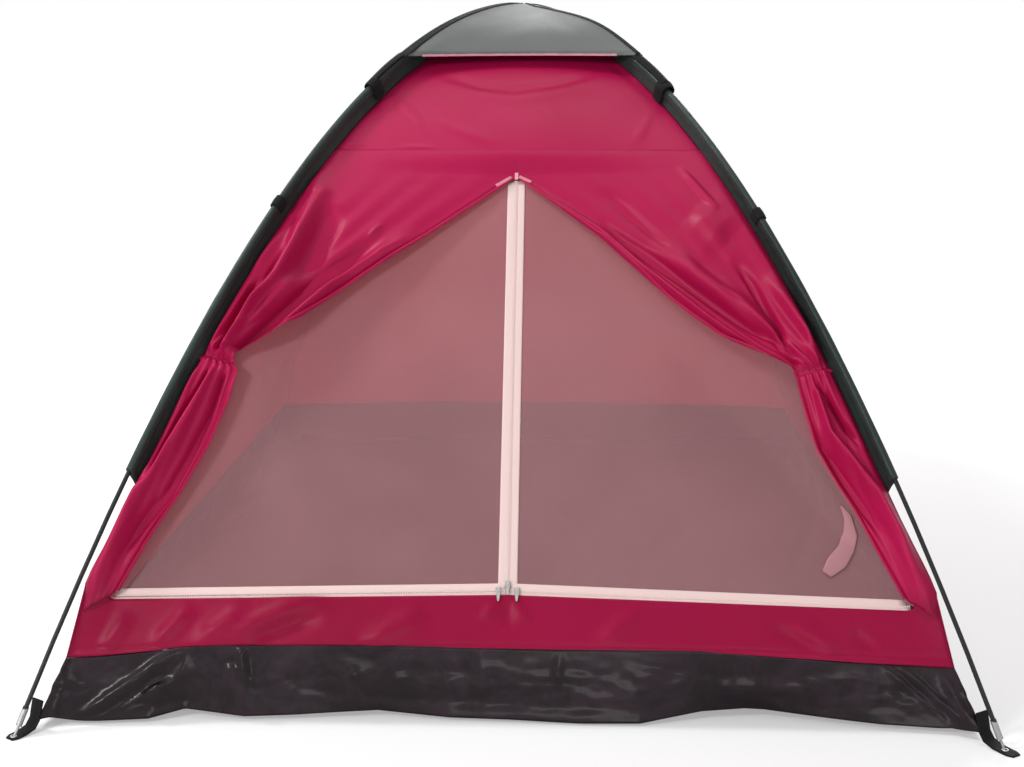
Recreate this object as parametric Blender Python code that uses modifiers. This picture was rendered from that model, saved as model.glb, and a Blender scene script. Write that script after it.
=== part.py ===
# Two-person dome tent: two crossing poles in sewn sleeves carry a single skin.
# Metres, +Z up, the door looks along -Y, and the origin is on the ground under the crossing.

import math

import bmesh
import bpy
import numpy as np
from mathutils import Matrix, Vector

# Overall sizes
FLOOR_WIDTH = 1.40
FLOOR_LENGTH = 2.00
TENT_HEIGHT = 1.10
FOOT_REACH = 0.040
FIT = 0.0003

# Poles, in hollow glass-fibre lengths joined by steel ferrules
POLE_SEGMENTS = 7
POLE_RADIUS = 0.0035
POLE_BORE = 0.0019
POLE_BEND = 1.92
FERRULE_RADIUS = 0.0045
FERRULE_LENGTH = 0.080
FERRULE_EASE = 0.0004
TIP_COLLAR_RADIUS = 0.0046
TIP_COLLAR_LENGTH = 0.030
TIP_PIN_RADIUS = 0.0021
TIP_PIN_LENGTH = 0.016
TIP_GROUND_GAP = 0.002
SHOCK_CORD_RADIUS = 0.0011
TUBE_SIDES = 8
CORD_SIDES = 6
BENDS_PER_SPAN = 3

# Sleeves and what is sewn round them
CLOTH = 0.0008
SEAM_DROP = 0.038
SLEEVE_EASE = 0.0007
SLEEVE_END_HEIGHT = 0.355
SLEEVE_CROSSING_GAP = 0.070
SLEEVE_TAIL_WIDTH = 0.0012
SLEEVE_TURNS_DEG = (-105, -70, -35, 0, 35, 70, 105)
SADDLE_TURNS_DEG = (-90, -60, -30, 0, 30, 60, 90)
SLEEVE_SEAM_GAP = 0.0020
BAND_WIDTH = 0.026
BAND_DEPTH = 0.024
BAND_CLOTH = 0.0012
BAND_HEIGHT = 0.745

# Walls and tub
WALL_COLUMNS = 8
WALL_LOWER_ROWS = 3
WALL_SAG = 0.018
TUB_CORNER_HEIGHT = 0.095
TUB_MIDDLE_HEIGHT = 0.109
TUB_EDGE_BOW = 0.035
TUB_CORNER_LIFT = 0.012
TUB_SHEET = 0.0010
VENT_REACH = 0.250

# Rain cap
CAP_REACH = 0.367
CAP_LIFT = 0.0021
CAP_CLOTH = 0.0010
CAP_COLUMNS = 8
CAP_TIE_WIDTH = 0.016
CAP_TIE_REACH = 0.092
CAP_TIE_STRAP = 0.012
ROOF_COLUMNS = 4

# Front: the mesh panel lies flat between the zip line and the door seam
ZIP_HEIGHT = 0.188
ZIP_END_DROP = 0.013
ZIP_HALF_LENGTH = 0.600
DOOR_APEX_HEIGHT = 0.785
DOOR_SEAM_HEIGHT = 0.832
ZIP_TAPE_WIDTH = 0.0135
ZIP_COIL_WIDTH = 0.0024
ZIP_COIL_RISE = 0.0010
TAPE_END_EASE = 0.0018
COIL_RAMP_START = 0.0035
COIL_RAMP_END = 0.0105

# Storm doors, tied back like curtains
TIE_HEIGHT_LEFT = 0.515
TIE_HEIGHT_RIGHT = 0.502
TIE_NECK_WIDTH = 0.038
EDGE_SAG_LEFT = 0.018
EDGE_SAG_RIGHT = 0.036
CURTAIN_COLUMNS = 18
CURTAIN_PLEATS = 3
CURTAIN_FOLD = 0.012
CURTAIN_CLEARANCE = 0.0013
CURTAIN_SEAM_GAP = 0.0030
CURTAIN_FOOT_WIDTH = 0.052
CURTAIN_FOOT_RISE = 0.004
CURTAIN_SEAM_WAVE = 0.35
TIE_BAND_HEIGHT = 0.016
TIE_BAND_CLOTH = 0.0010
TIE_EASE = 0.0036
TIE_SEAM_GAP = 0.0020
SURROUND_COLUMNS = 3
SURROUND_ROW_GAP = 0.012

# Zip sliders and their pulls
SLIDER_WIDTH = 0.0090
SLIDER_LENGTH = 0.0130
SLIDER_DEPTH = 0.0034
SLIDER_NOSE = 0.72
SLIDER_CROWN = 0.86
SLIDER_EDGE = 0.0006
SLIDER_SPACING = 0.0140
BAIL_WIDTH = 0.0016
BAIL_RISE = 0.0032
BAIL_STEM = 0.0010
PULL_WIDTH = 0.0056
PULL_LENGTH = 0.0165
PULL_THICKNESS = 0.0010
PULL_BAR = 0.0010
PULL_WINDOW = 0.0048

# Corner webbing
TAB_WIDTH = 0.026
TAB_SHEET = 0.0020
TAB_RISE = 0.028
TAB_LANDING = 0.012
TAB_TAIL = 0.023
EYELET_RIM = 0.0024
EYELET_RISE = 0.0008
PIN_EASE = 0.0006
PEG_HOLE_RADIUS = 0.0035
PEG_HOLE_REACH = 0.0140
CUTTER_LENGTH = 0.030

CORNERS = {"front_left": (-1, -1), "front_right": (1, -1), "rear_left": (-1, 1), "rear_right": (1, 1)}
SIDES = {"front": (0, -1), "rear": (0, 1), "left": (-1, 0), "right": (1, 0)}


# Scene, materials and collections

def clear_scene():
    for obj in list(bpy.data.objects):
        bpy.data.objects.remove(obj, do_unlink=True)


def new_collection(name, hidden=False):
    made = bpy.data.collections.new(name)
    bpy.context.scene.collection.children.link(made)
    made.hide_render = hidden
    return made


def linear(channel):
    share = channel / 255
    return share / 12.92 if share <= 0.04045 else ((share + 0.055) / 1.055) ** 2.4


def finish_of(name, colour, roughness, metallic=0.0, alpha=1.0):
    made = bpy.data.materials.new(name)
    made.use_nodes = True
    shader = made.node_tree.nodes["Principled BSDF"]
    shader.inputs["Base Color"].default_value = (*[linear(c) for c in colour], 1)
    shader.inputs["Roughness"].default_value = roughness
    shader.inputs["Metallic"].default_value = metallic
    shader.inputs["Alpha"].default_value = alpha
    return made


clear_scene()
tent = new_collection("camping_tent")
cutters = new_collection("cutters", hidden=True)

crimson = finish_of("crimson_polyester", (176, 33, 75), 0.5)
grey_cloth = finish_of("grey_cap_cloth", (151, 151, 151), 0.6)
sleeve_cloth = finish_of("charcoal_sleeve_cloth", (44, 46, 44), 0.6)
webbing = finish_of("black_webbing", (22, 22, 24), 0.8)
tub_sheet = finish_of("dark_groundsheet", (50, 38, 44), 0.3)
insect_mesh = finish_of("insect_mesh", (190, 140, 146), 0.8, alpha=0.6)
zip_tape = finish_of("pale_zip_tape", (238, 204, 202), 0.7)
zip_metal = finish_of("zip_metal", (178, 178, 176), 0.3, metallic=1.0)
glass_fibre = finish_of("dark_glass_fibre", (42, 44, 46), 0.35)
cord_rubber = finish_of("shock_cord", (30, 30, 32), 0.7)


# Mesh helpers

def lattice(rows, ring=False):
    """A bmesh sheet through rows of points, its rows closed into rings where ring is true."""
    across = len(rows[0]) + (1 if ring else 0)
    along = len(rows)
    bm = bmesh.new()
    bmesh.ops.create_grid(bm, x_segments=across - 1, y_segments=along - 1, size=0.5)
    for vert in bm.verts:
        i = round((vert.co.x + 0.5) * (across - 1)) % len(rows[0])
        j = round((vert.co.y + 0.5) * (along - 1))
        vert.co = rows[j][i]
    bmesh.ops.remove_doubles(bm, verts=bm.verts, dist=1e-6)
    return bm


def placed(name, bm, finish, smooth=True):
    data = bpy.data.meshes.new(name)
    bm.to_mesh(data)
    bm.free()
    data.materials.append(finish)
    if smooth:
        data.shade_smooth()
        data.set_sharp_from_angle(angle=math.radians(35))
    obj = bpy.data.objects.new(name, data)
    tent.objects.link(obj)
    return obj


def thicken(obj, thickness, outward=True):
    """A sheet gets its cloth's thickness on the side that its faces look to, or on the other."""
    shell = obj.modifiers.new("cloth", "SOLIDIFY")
    shell.thickness = thickness
    shell.offset = 1 if outward else -1
    shell.use_even_offset = True
    shell.use_quality_normals = True
    return obj


def sheet(name, rows, finish, thickness, outward=True, ring=False):
    return thicken(placed(name, lattice(rows, ring), finish), thickness, outward)


def loft(name, rings, finish, capped=True, smooth=True):
    """A closed solid through rings of points, with a face over each end."""
    bm = lattice(rings, ring=True)
    if capped:
        open_edges = [e for e in bm.edges if e.is_boundary]
        bmesh.ops.holes_fill(bm, edges=open_edges, sides=0)
    bmesh.ops.recalc_face_normals(bm, faces=bm.faces)
    return placed(name, bm, finish, smooth)


def lerp(a, b, share):
    return a + (b - a) * share


# The pole line, in the upright plane through two opposite corners

half_width = FLOOR_WIDTH / 2
half_length = FLOOR_LENGTH / 2
corner_reach = math.hypot(half_width, half_length)
foot_reach = corner_reach + FOOT_REACH
across_share = half_width / corner_reach
along_share = half_length / corner_reach

ferrule_bore = POLE_RADIUS + FERRULE_EASE
sleeve_inner = FERRULE_RADIUS + SLEEVE_EASE
sleeve_outer = sleeve_inner + CLOTH
cap_ridge = sleeve_outer + CAP_LIFT
crossing_radius = POLE_RADIUS if POLE_SEGMENTS % 2 else FERRULE_RADIUS
over_top = TENT_HEIGHT - CAP_CLOTH - cap_ridge
under_top = over_top - 2 * crossing_radius - FIT


def pole_height(reach, top):
    return top * (1 - (reach / foot_reach) ** POLE_BEND)


def pole_knots():
    """Distances from the foot at which half a pole may bend: its tips and ferrules stay straight."""
    reaches = np.linspace(foot_reach, 0, 4001)
    heights = pole_height(reaches, under_top)
    steps = np.hypot(np.diff(reaches), np.diff(heights))
    lengths = np.concatenate([[0], np.cumsum(steps)])
    half = lengths[-1]
    tip = TIP_GROUND_GAP + TIP_PIN_LENGTH + TIP_COLLAR_LENGTH
    joints = [2 * half * n / POLE_SEGMENTS for n in range(1, POLE_SEGMENTS)]
    spans = [(0, tip)]
    for joint in joints:
        if joint < half - FERRULE_LENGTH / 2:
            spans.append((joint - FERRULE_LENGTH / 2, joint + FERRULE_LENGTH / 2))
    knots = []
    for (start, end), following in zip(spans, spans[1:] + [(half, half)]):
        knots += [start, end]
        room = following[0] - end
        whole_span = 2 * half / POLE_SEGMENTS - FERRULE_LENGTH
        bends = max(1, round(BENDS_PER_SPAN * room / whole_span))
        knots += [end + room * (n + 1) / (bends + 1) for n in range(bends)]
    knots.append(half)
    return np.array(knots), np.interp(knots, lengths, reaches), 2 * half


knot_at, knot_reach, pole_length = pole_knots()
pole_half = pole_length / 2
joint_at = [pole_length * n / POLE_SEGMENTS for n in range(1, POLE_SEGMENTS)]


def outward_normals(reach, height):
    """Normals at the knots of a half pole, mitred, so that offset lines stay parallel to it."""
    line = np.stack([reach, height], 1)
    line = np.vstack([line, [-line[-2][0], line[-2][1]]])
    runs = np.diff(line, axis=0)
    runs /= np.linalg.norm(runs, axis=1)[:, None]
    sides = np.stack([runs[:, 1], -runs[:, 0]], 1)
    mitres = [sides[0]]
    for before, after in zip(sides[:-1], sides[1:]):
        middle = (before + after) / np.linalg.norm(before + after)
        mitres.append(middle / (middle @ before))
    return np.array(mitres)


class HalfPole:
    """One half of a pole line, from a foot up to the crossing."""

    def __init__(self, top):
        self.reach = knot_reach
        self.height = pole_height(knot_reach, top)
        self.normal = outward_normals(self.reach, self.height)

    def at(self, distance):
        """Reach, height and outward normal at a distance from the foot."""
        return (
            float(np.interp(distance, knot_at, self.reach)),
            float(np.interp(distance, knot_at, self.height)),
            float(np.interp(distance, knot_at, self.normal[:, 0])),
            float(np.interp(distance, knot_at, self.normal[:, 1])),
        )


over_half = HalfPole(over_top)
under_half = HalfPole(under_top)
half_of = dict.fromkeys(("front_left", "rear_right"), over_half)
half_of.update(dict.fromkeys(("front_right", "rear_left"), under_half))


def bearing(corner):
    """The level direction from the crossing to a corner, and the level direction square to it."""
    x, y = CORNERS[corner]
    along = Vector((x * across_share, y * along_share, 0))
    return along, Vector((-along.y, along.x, 0))


def stations(start, end):
    """start, the knots between, and end."""
    return [start] + [float(k) for k in knot_at if start + 1e-4 < k < end - 1e-4] + [end]


def on_half(corner, distance, out=0.0, side=0.0):
    """A point beside a half pole: out along its outward normal and side square to its plane."""
    along, square = bearing(corner)
    reach, height, nr, nz = half_of[corner].at(distance)
    return along * (reach + out * nr) + Vector((0, 0, height + out * nz)) + square * side


# The seam line below the poles, where the walls and the sleeves meet

def seam_station(distance):
    reach, height, nr, nz = under_half.at(distance)
    return reach - SEAM_DROP * nr, height - SEAM_DROP * nz


def distance_at_height(height):
    return float(np.interp(height, under_half.height, knot_at))


def distance_at_reach(reach):
    return float(np.interp(-reach, -under_half.reach, knot_at))


sleeve_start = distance_at_height(SLEEVE_END_HEIGHT)
sleeve_finish = pole_half - SLEEVE_CROSSING_GAP
vent_start = distance_at_reach(VENT_REACH)
cap_start = distance_at_reach(CAP_REACH)

seam_distances = stations(sleeve_start, pole_half)
seam_points = [(corner_reach, 0.0)] + [seam_station(d) for d in seam_distances]
seam_reaches = [p[0] for p in seam_points]
seam_heights = [p[1] for p in seam_points]


vent_height = seam_station(vent_start)[1]


def seam_reach(height):
    return float(np.interp(height, seam_heights, seam_reaches))


def wall_sag(u, height):
    """How far a side wall hangs in between the poles."""
    return WALL_SAG * (1 - u * u) * math.sin(math.pi * min(max(height / vent_height, 0), 1))


def wall_point(side, u, height, trim=0.0, sag=True):
    """A point of a wall: u runs from -1 to 1 across it, left to right as seen from outside."""
    ox, oy = SIDES[side]
    reach = seam_reach(height)
    depth = reach * (along_share if oy else across_share)
    half = reach * (across_share if oy else along_share) - trim
    if sag and side != "front":
        depth -= wall_sag(u, height)
    ax, ay = -oy, ox
    return Vector((ox * depth + ax * u * half, oy * depth + ay * u * half, height))


def columns(count):
    return [-1 + 2 * n / count for n in range(count + 1)]


def tub_height(u):
    return lerp(TUB_MIDDLE_HEIGHT, TUB_CORNER_HEIGHT, u * u)


def wall_heights(low, high):
    """Heights at which a wall bends, from low to high."""
    return [low] + [h for h in seam_heights if low + 1e-4 < h < high - 1e-4] + [high]


# Poles

def pole_point(over, distance, radius, angle):
    """A point on a ring round a whole pole, which runs from its front foot to its rear foot."""
    front, rear = ("front_left", "rear_right") if over else ("front_right", "rear_left")
    square = bearing(front)[1]
    corner = front if distance <= pole_half else rear
    from_foot = min(distance, pole_length - distance)
    along = bearing(corner)[0]
    reach, height, nr, nz = half_of[corner].at(from_foot)
    up = along * nr + Vector((0, 0, nz))
    centre = along * reach + Vector((0, 0, height))
    return centre + (up * math.cos(angle) + square * math.sin(angle)) * radius


def pole_stations(start, end):
    bends = [float(k) for k in knot_at] + [pole_length - float(k) for k in knot_at[:-1]]
    return [start] + sorted(k for k in bends if start + 1e-4 < k < end - 1e-4) + [end]


def turned_on_pole(name, over, profile, finish, sides):
    """A turned shape that follows the pole: profile is a list of distance and radius."""
    rings = []
    for distance, radius in profile:
        ring = [pole_point(over, distance, radius, 2 * math.pi * n / sides) for n in range(sides)]
        rings.append(ring)
    bm = lattice(rings, ring=True)
    if profile[0] == profile[-1]:
        bmesh.ops.remove_doubles(bm, verts=bm.verts, dist=1e-6)
    bmesh.ops.recalc_face_normals(bm, faces=bm.faces)
    return placed(name, bm, finish)


collar_top = TIP_GROUND_GAP + TIP_PIN_LENGTH + TIP_COLLAR_LENGTH


def tip_profile():
    """The steel tip at the front foot: a pin for the eyelet under a collar."""
    pin_top = TIP_GROUND_GAP + TIP_PIN_LENGTH
    return [
        (TIP_GROUND_GAP, 0.0),
        (TIP_GROUND_GAP, TIP_PIN_RADIUS),
        (pin_top, TIP_PIN_RADIUS),
        (pin_top, TIP_COLLAR_RADIUS),
        (collar_top, TIP_COLLAR_RADIUS),
        (collar_top, POLE_RADIUS),
    ]


def pole_segment(over, number):
    """One length of pole. Each but the last ends in the ferrule that takes the next one."""
    first = number == 0
    last = number == POLE_SEGMENTS - 1
    start = collar_top if first else joint_at[number - 1] + FIT
    if last:
        outside = [(d, POLE_RADIUS) for d in pole_stations(start, pole_length - collar_top)]
        outside += [(pole_length - d, r) for d, r in reversed(tip_profile()[:-1])]
        inside = [(d, POLE_BORE) for d in reversed(pole_stations(start, pole_length - collar_top))]
        inside = [(pole_length - collar_top, 0.0)] + inside
        profile = inside + outside
    else:
        joint = joint_at[number]
        ferrule_start = joint - FERRULE_LENGTH / 2
        ferrule_end = joint + FERRULE_LENGTH / 2
        outside = [(d, POLE_RADIUS) for d in pole_stations(start, ferrule_start)]
        outside += [(ferrule_start, FERRULE_RADIUS), (ferrule_end, FERRULE_RADIUS)]
        inside = [(ferrule_end, ferrule_bore), (joint, ferrule_bore)]
        inside += [(d, POLE_BORE) for d in reversed(pole_stations(start, joint))]
        if first:
            profile = tip_profile() + outside[1:] + inside + [(start, 0.0)]
        else:
            profile = outside + inside
            profile.append(profile[0])
    pole = "a" if over else "b"
    return turned_on_pole(f"pole_{pole}_segment_{number + 1}", over, profile, glass_fibre, TUBE_SIDES)


def shock_cord(over):
    """The elastic cord that runs through a pole from tip to tip."""
    start = collar_top + FIT
    line = pole_stations(start, pole_length - start)
    profile = [(start, 0.0)] + [(d, SHOCK_CORD_RADIUS) for d in line] + [(line[-1], 0.0)]
    pole = "a" if over else "b"
    return turned_on_pole(f"pole_{pole}_shock_cord", over, profile, cord_rubber, CORD_SIDES)


def make_poles():
    for over in (True, False):
        for number in range(POLE_SEGMENTS):
            pole_segment(over, number)
        shock_cord(over)


# Sleeves, bands and cap ties

def sleeve_ring(corner, distance):
    """A sleeve's section: round the pole on the outside, drawn flat to the seam."""
    along, square = bearing(corner)
    ring = []
    for degrees in SLEEVE_TURNS_DEG:
        turn = math.radians(degrees)
        ring.append(on_half(corner, distance, sleeve_inner * math.cos(turn), sleeve_inner * math.sin(turn)))
    reach, height = seam_station(distance)
    nr, nz = under_half.at(distance)[2:]
    root = along * (reach + SLEEVE_SEAM_GAP * nr) + Vector((0, 0, height + SLEEVE_SEAM_GAP * nz))
    ring.append(root + square * SLEEVE_TAIL_WIDTH / 2)
    ring.append(root - square * SLEEVE_TAIL_WIDTH / 2)
    return ring


def make_sleeves():
    for corner in CORNERS:
        rings = [sleeve_ring(corner, d) for d in stations(sleeve_start, sleeve_finish)]
        bm = lattice(rings, ring=True)
        bmesh.ops.recalc_face_normals(bm, faces=bm.faces)
        if not faces_look_out(bm, on_half(corner, (sleeve_start + sleeve_finish) / 2)):
            bmesh.ops.reverse_faces(bm, faces=bm.faces)
        thicken(placed(f"sleeve_{corner}", bm, sleeve_cloth), CLOTH)


def faces_look_out(bm, inside):
    """Whether the face nearest to a point inside a tube looks away from it."""
    nearest = min(bm.faces, key=lambda f: (f.calc_center_median() - inside).length)
    return nearest.normal.dot(nearest.calc_center_median() - inside) > 0


def saddle_section(depth):
    """Half-round over the sleeve with straight legs: pairs of out and side, from leg to leg."""
    radius = sleeve_outer + FIT * 2
    section = [(-depth, -radius), (-depth / 2, -radius)]
    for degrees in SADDLE_TURNS_DEG:
        turn = math.radians(degrees)
        section.append((radius * math.cos(turn), radius * math.sin(turn)))
    return section + [(-depth / 2, radius), (-depth, radius)]


def saddle(corner, start, end, depth):
    """Rows of points of a band that sits over a sleeve from start to end."""
    return [
        [on_half(corner, d, out, side) for out, side in saddle_section(depth)]
        for d in stations(start, end)
    ]


def make_guy_bands():
    """The black bands sewn round the sleeves half way up."""
    middle = distance_at_height(BAND_HEIGHT)
    for corner in CORNERS:
        rows = saddle(corner, middle - BAND_WIDTH / 2, middle + BAND_WIDTH / 2, BAND_DEPTH)
        sheet(f"guy_band_{corner}", rows, webbing, BAND_CLOTH, outward=looks_out(rows, corner, middle))


def looks_out(rows, corner, distance):
    """Whether a sheet over a sleeve, made from these rows, has its faces away from the pole."""
    middle = len(rows[0]) // 2
    a, b, c = rows[0][middle - 1], rows[0][middle + 1], rows[-1][middle]
    return (b - a).cross(c - a).dot(rows[0][middle] - on_half(corner, distance)) > 0


def make_cap_ties():
    """A saddle over the sleeve with a strap up to the cap's corner."""
    hem = cap_start
    low = hem - CAP_TIE_REACH
    band_top = low + CAP_TIE_WIDTH
    for corner in CORNERS:
        section = saddle_section(BAND_DEPTH)
        distances = stations(low, band_top) + stations(band_top, hem - FIT)[1:]
        rows = [[on_half(corner, d, out, side) for out, side in section] for d in distances]
        outward = looks_out(rows, corner, low)
        bm = lattice(rows)
        extra = []
        for face in bm.faces:
            centre = face.calc_center_median()
            beside = abs(centre.dot(bearing(corner)[1]))
            above = nearest_distance(corner, centre) > band_top
            if above and beside > CAP_TIE_STRAP * 0.4:
                extra.append(face)
        bmesh.ops.delete(bm, geom=extra, context="FACES")
        thicken(placed(f"cap_tie_{corner}", bm, webbing), BAND_CLOTH, outward)


def nearest_distance(corner, point):
    """The distance along a half pole that lies nearest to a point."""
    along = bearing(corner)[0]
    reach, height = point.dot(along), point.z
    fine = np.linspace(0, pole_half, 1200)
    gaps = np.hypot(
        np.interp(fine, knot_at, half_of[corner].reach) - reach,
        np.interp(fine, knot_at, half_of[corner].height) - height,
    )
    return float(fine[int(np.argmin(gaps))])


# Walls, tub and roof

def wall_rows(side, high):
    """Rows of points of a wall, from the tub seam up to a height."""
    band = seam_heights[1]
    rows = []
    for n in range(WALL_LOWER_ROWS):
        share = n / WALL_LOWER_ROWS
        row = []
        for u in columns(WALL_COLUMNS):
            height = lerp(tub_height(u) + FIT, band, share)
            row.append(wall_point(side, u, height, trim=FIT))
        rows.append(row)
    for height in wall_heights(band, high):
        rows.append([wall_point(side, u, height, trim=FIT) for u in columns(WALL_COLUMNS)])
    return rows


def make_walls():
    for side in ("rear", "left", "right"):
        sheet(f"{side}_wall", wall_rows(side, vent_height), crimson, CLOTH)


def front_top_rows():
    return [
        [wall_point("front", u, height, trim=FIT) for u in columns(WALL_COLUMNS)]
        for height in wall_heights(DOOR_SEAM_HEIGHT, vent_height)
    ]


def make_tub():
    """The groundsheet: a floor with its sides turned up, its edges bowed in between lifted corners."""
    bm = bmesh.new()
    bmesh.ops.create_grid(bm, x_segments=WALL_COLUMNS, y_segments=WALL_COLUMNS, size=1)
    bmesh.ops.reverse_faces(bm, faces=bm.faces)
    rim = [e for e in bm.edges if e.is_boundary]
    raised = bmesh.ops.extrude_edge_only(bm, edges=rim)["geom"]
    sides = {g for g in raised if isinstance(g, bmesh.types.BMVert)}
    for vert in bm.verts:
        u, v = vert.co.x, vert.co.y
        if vert in sides:
            vert.co = tub_rim(u, v)
        else:
            x = u * (half_width - TUB_EDGE_BOW * (1 - v * v))
            y = v * (half_length - TUB_EDGE_BOW * (1 - u * u))
            at_corner = abs(u) > 0.999 and abs(v) > 0.999
            vert.co = (x, y, TUB_CORNER_LIFT if at_corner else 0)
    bmesh.ops.recalc_face_normals(bm, faces=bm.faces)
    floor_face = min(bm.faces, key=lambda f: f.calc_center_median().length)
    if floor_face.normal.z > 0:
        bmesh.ops.reverse_faces(bm, faces=bm.faces)
    thicken(placed("groundsheet_tub", bm, tub_sheet), TUB_SHEET, outward=False)


def tub_rim(u, v):
    """The top of the tub's side above the floor's edge point u, v."""
    if abs(v) > 0.999:
        side, share = ("front", u) if v < 0 else ("rear", -u)
    else:
        side, share = ("left", -v) if u < 0 else ("right", v)
    return wall_point(side, share, tub_height(share))


def roof_ring(distance, line, lift, count):
    """A level four-sided ring of points at a distance along a pole line."""
    reach, height, nr, nz = line.at(distance)
    reach, height = reach + lift * nr, height + lift * nz
    ring = []
    for x, y, dx, dy in ((-1, -1, 1, 0), (1, -1, 0, 1), (1, 1, -1, 0), (-1, 1, 0, -1)):
        for n in range(count):
            across = x + dx * 2 * n / count
            along = y + dy * 2 * n / count
            ring.append(Vector((across * reach * across_share, along * reach * along_share, height)))
    return ring


def roof(name, distances, line, lift, count, finish, thickness):
    """A four-sided dome that closes to a point over the crossing."""
    rings = [roof_ring(d, line, lift, count) for d in distances]
    bm = lattice(rings, ring=True)
    bmesh.ops.recalc_face_normals(bm, faces=bm.faces)
    if max(bm.faces, key=lambda f: f.calc_center_median().z).normal.z < 0:
        bmesh.ops.reverse_faces(bm, faces=bm.faces)
    return thicken(placed(name, bm, finish), thickness)


def make_roof():
    vent_line = stations(vent_start + 2 * FIT, pole_half)
    roof("roof_vent_mesh", vent_line, under_half, -SEAM_DROP, ROOF_COLUMNS, insect_mesh, CLOTH)
    cap_line = stations(cap_start, pole_half)
    roof("rain_cap", cap_line, over_half, cap_ridge, CAP_COLUMNS, grey_cloth, CAP_CLOTH)


# The front: its flat mesh panel, zips and doors

zip_depth = seam_reach(ZIP_HEIGHT) * along_share
seam_depth = seam_reach(DOOR_SEAM_HEIGHT) * along_share - CLOTH
front_lean = math.atan2(zip_depth - seam_depth, DOOR_SEAM_HEIGHT - ZIP_HEIGHT)
panel_up = Vector((0, math.sin(front_lean), math.cos(front_lean)))
panel_out = Vector((0, -math.cos(front_lean), math.sin(front_lean)))
panel_base = Vector((0, -zip_depth, ZIP_HEIGHT))
panel_frame = Matrix.Translation(panel_base) @ Matrix(
    ((1, 0, 0), tuple(panel_up), tuple(panel_out))
).transposed().to_4x4()


def rise_of(height):
    """How far up the flat panel a height lies."""
    return (height - ZIP_HEIGHT) / math.cos(front_lean)


apex_rise = rise_of(DOOR_APEX_HEIGHT)
seam_rise = rise_of(DOOR_SEAM_HEIGHT)
zip_end = Vector((ZIP_HALF_LENGTH, -ZIP_END_DROP / math.cos(front_lean)))
zip_apex = Vector((0, apex_rise))
hinge_run = (zip_apex - zip_end).normalized()
zip_run = zip_end.normalized()


def on_panel(x, rise, out=0.0):
    return panel_base + Vector((x, 0, 0)) + panel_up * rise + panel_out * out


def line_meet(a, along_a, b, along_b):
    """Where two lines in the panel cross."""
    wide = along_a.x * along_b.y - along_a.y * along_b.x
    gap = b - a
    return a + along_a * ((gap.x * along_b.y - gap.y * along_b.x) / wide)


def square_of(run):
    return Vector((-run.y, run.x))


def door_corners(inset, hinge_inset):
    """A half door's apex, zip corner and hinge foot, drawn in from its zips and from its hinge line."""
    upright = Vector((0, 1))
    hinge_start = zip_end - square_of(hinge_run) * -hinge_inset
    level_start = square_of(zip_run) * inset
    edge_start = Vector((inset, 0))
    return (
        line_meet(edge_start, upright, hinge_start, hinge_run),
        line_meet(edge_start, upright, level_start, zip_run),
        line_meet(level_start, zip_run, hinge_start, hinge_run),
    )


def door_outline(inset, sign):
    return [Vector((sign * p.x, p.y)) for p in door_corners(inset, FIT)]


def flat_plate(name, outline, finish, thickness, out=0.0):
    """A flat piece of the panel, its outer face at out above the panel."""
    curve = bpy.data.curves.new(name, "CURVE")
    curve.dimensions = "2D"
    curve.fill_mode = "BOTH"
    curve.extrude = thickness / 2
    spline = curve.splines.new("POLY")
    spline.points.add(len(outline) - 1)
    for point, corner in zip(spline.points, outline):
        point.co = (corner.x, corner.y, 0, 1)
    spline.use_cyclic_u = True
    curve.materials.append(finish)
    obj = bpy.data.objects.new(name, curve)
    obj.matrix_world = panel_frame @ Matrix.Translation((0, 0, out - thickness / 2))
    tent.objects.link(obj)
    return obj


def tape_section(coil_rise):
    """Across a zip tape from its coil: pairs of inset and out."""
    return [
        (0.0, coil_rise),
        (ZIP_COIL_WIDTH, coil_rise),
        (ZIP_COIL_WIDTH, 0.0),
        (ZIP_TAPE_WIDTH, 0.0),
        (ZIP_TAPE_WIDTH, -CLOTH),
        (0.0, -CLOTH),
    ]


def tape_rings(sign):
    """Down a half door's zip and out along its foot. The coil stops short of the hinge line."""
    ends = [(TAPE_END_EASE, 0.0), (COIL_RAMP_START, 0.0), (COIL_RAMP_END, ZIP_COIL_RISE)]
    stops = [(0, ease, rise) for ease, rise in ends] + [(1, FIT, ZIP_COIL_RISE)]
    stops += [(2, ease, rise) for ease, rise in reversed(ends)]
    rings = []
    for corner, ease, coil_rise in stops:
        ring = []
        for inset, out in tape_section(coil_rise):
            point = door_corners(inset + FIT / 2, ease)[corner]
            ring.append(on_panel(sign * point.x, point.y, out))
        rings.append(ring)
    return rings


def make_mesh_doors():
    for name, sign in (("left", -1), ("right", 1)):
        flat_plate(f"mesh_door_{name}", door_outline(ZIP_TAPE_WIDTH + FIT, sign), insect_mesh, CLOTH)
        loft(f"door_zip_tape_{name}", tape_rings(sign), zip_tape, smooth=False)


def make_lower_tape():
    """The fixed half of the level zip, which runs down a little to each side."""
    rings = []
    for x in (-ZIP_HALF_LENGTH, 0.0, ZIP_HALF_LENGTH):
        drop = abs(x) / ZIP_HALF_LENGTH * zip_end.y
        ring = []
        for inset, out in tape_section(ZIP_COIL_RISE):
            ring.append(on_panel(x, drop - (inset + FIT / 2) / zip_run.x, out))
        rings.append(ring)
    loft("lower_zip_tape", rings, zip_tape, smooth=False)


def zip_line_rise(x):
    """How far up the panel the level zip lies at x."""
    return zip_end.y * abs(x) / ZIP_HALF_LENGTH


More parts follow.
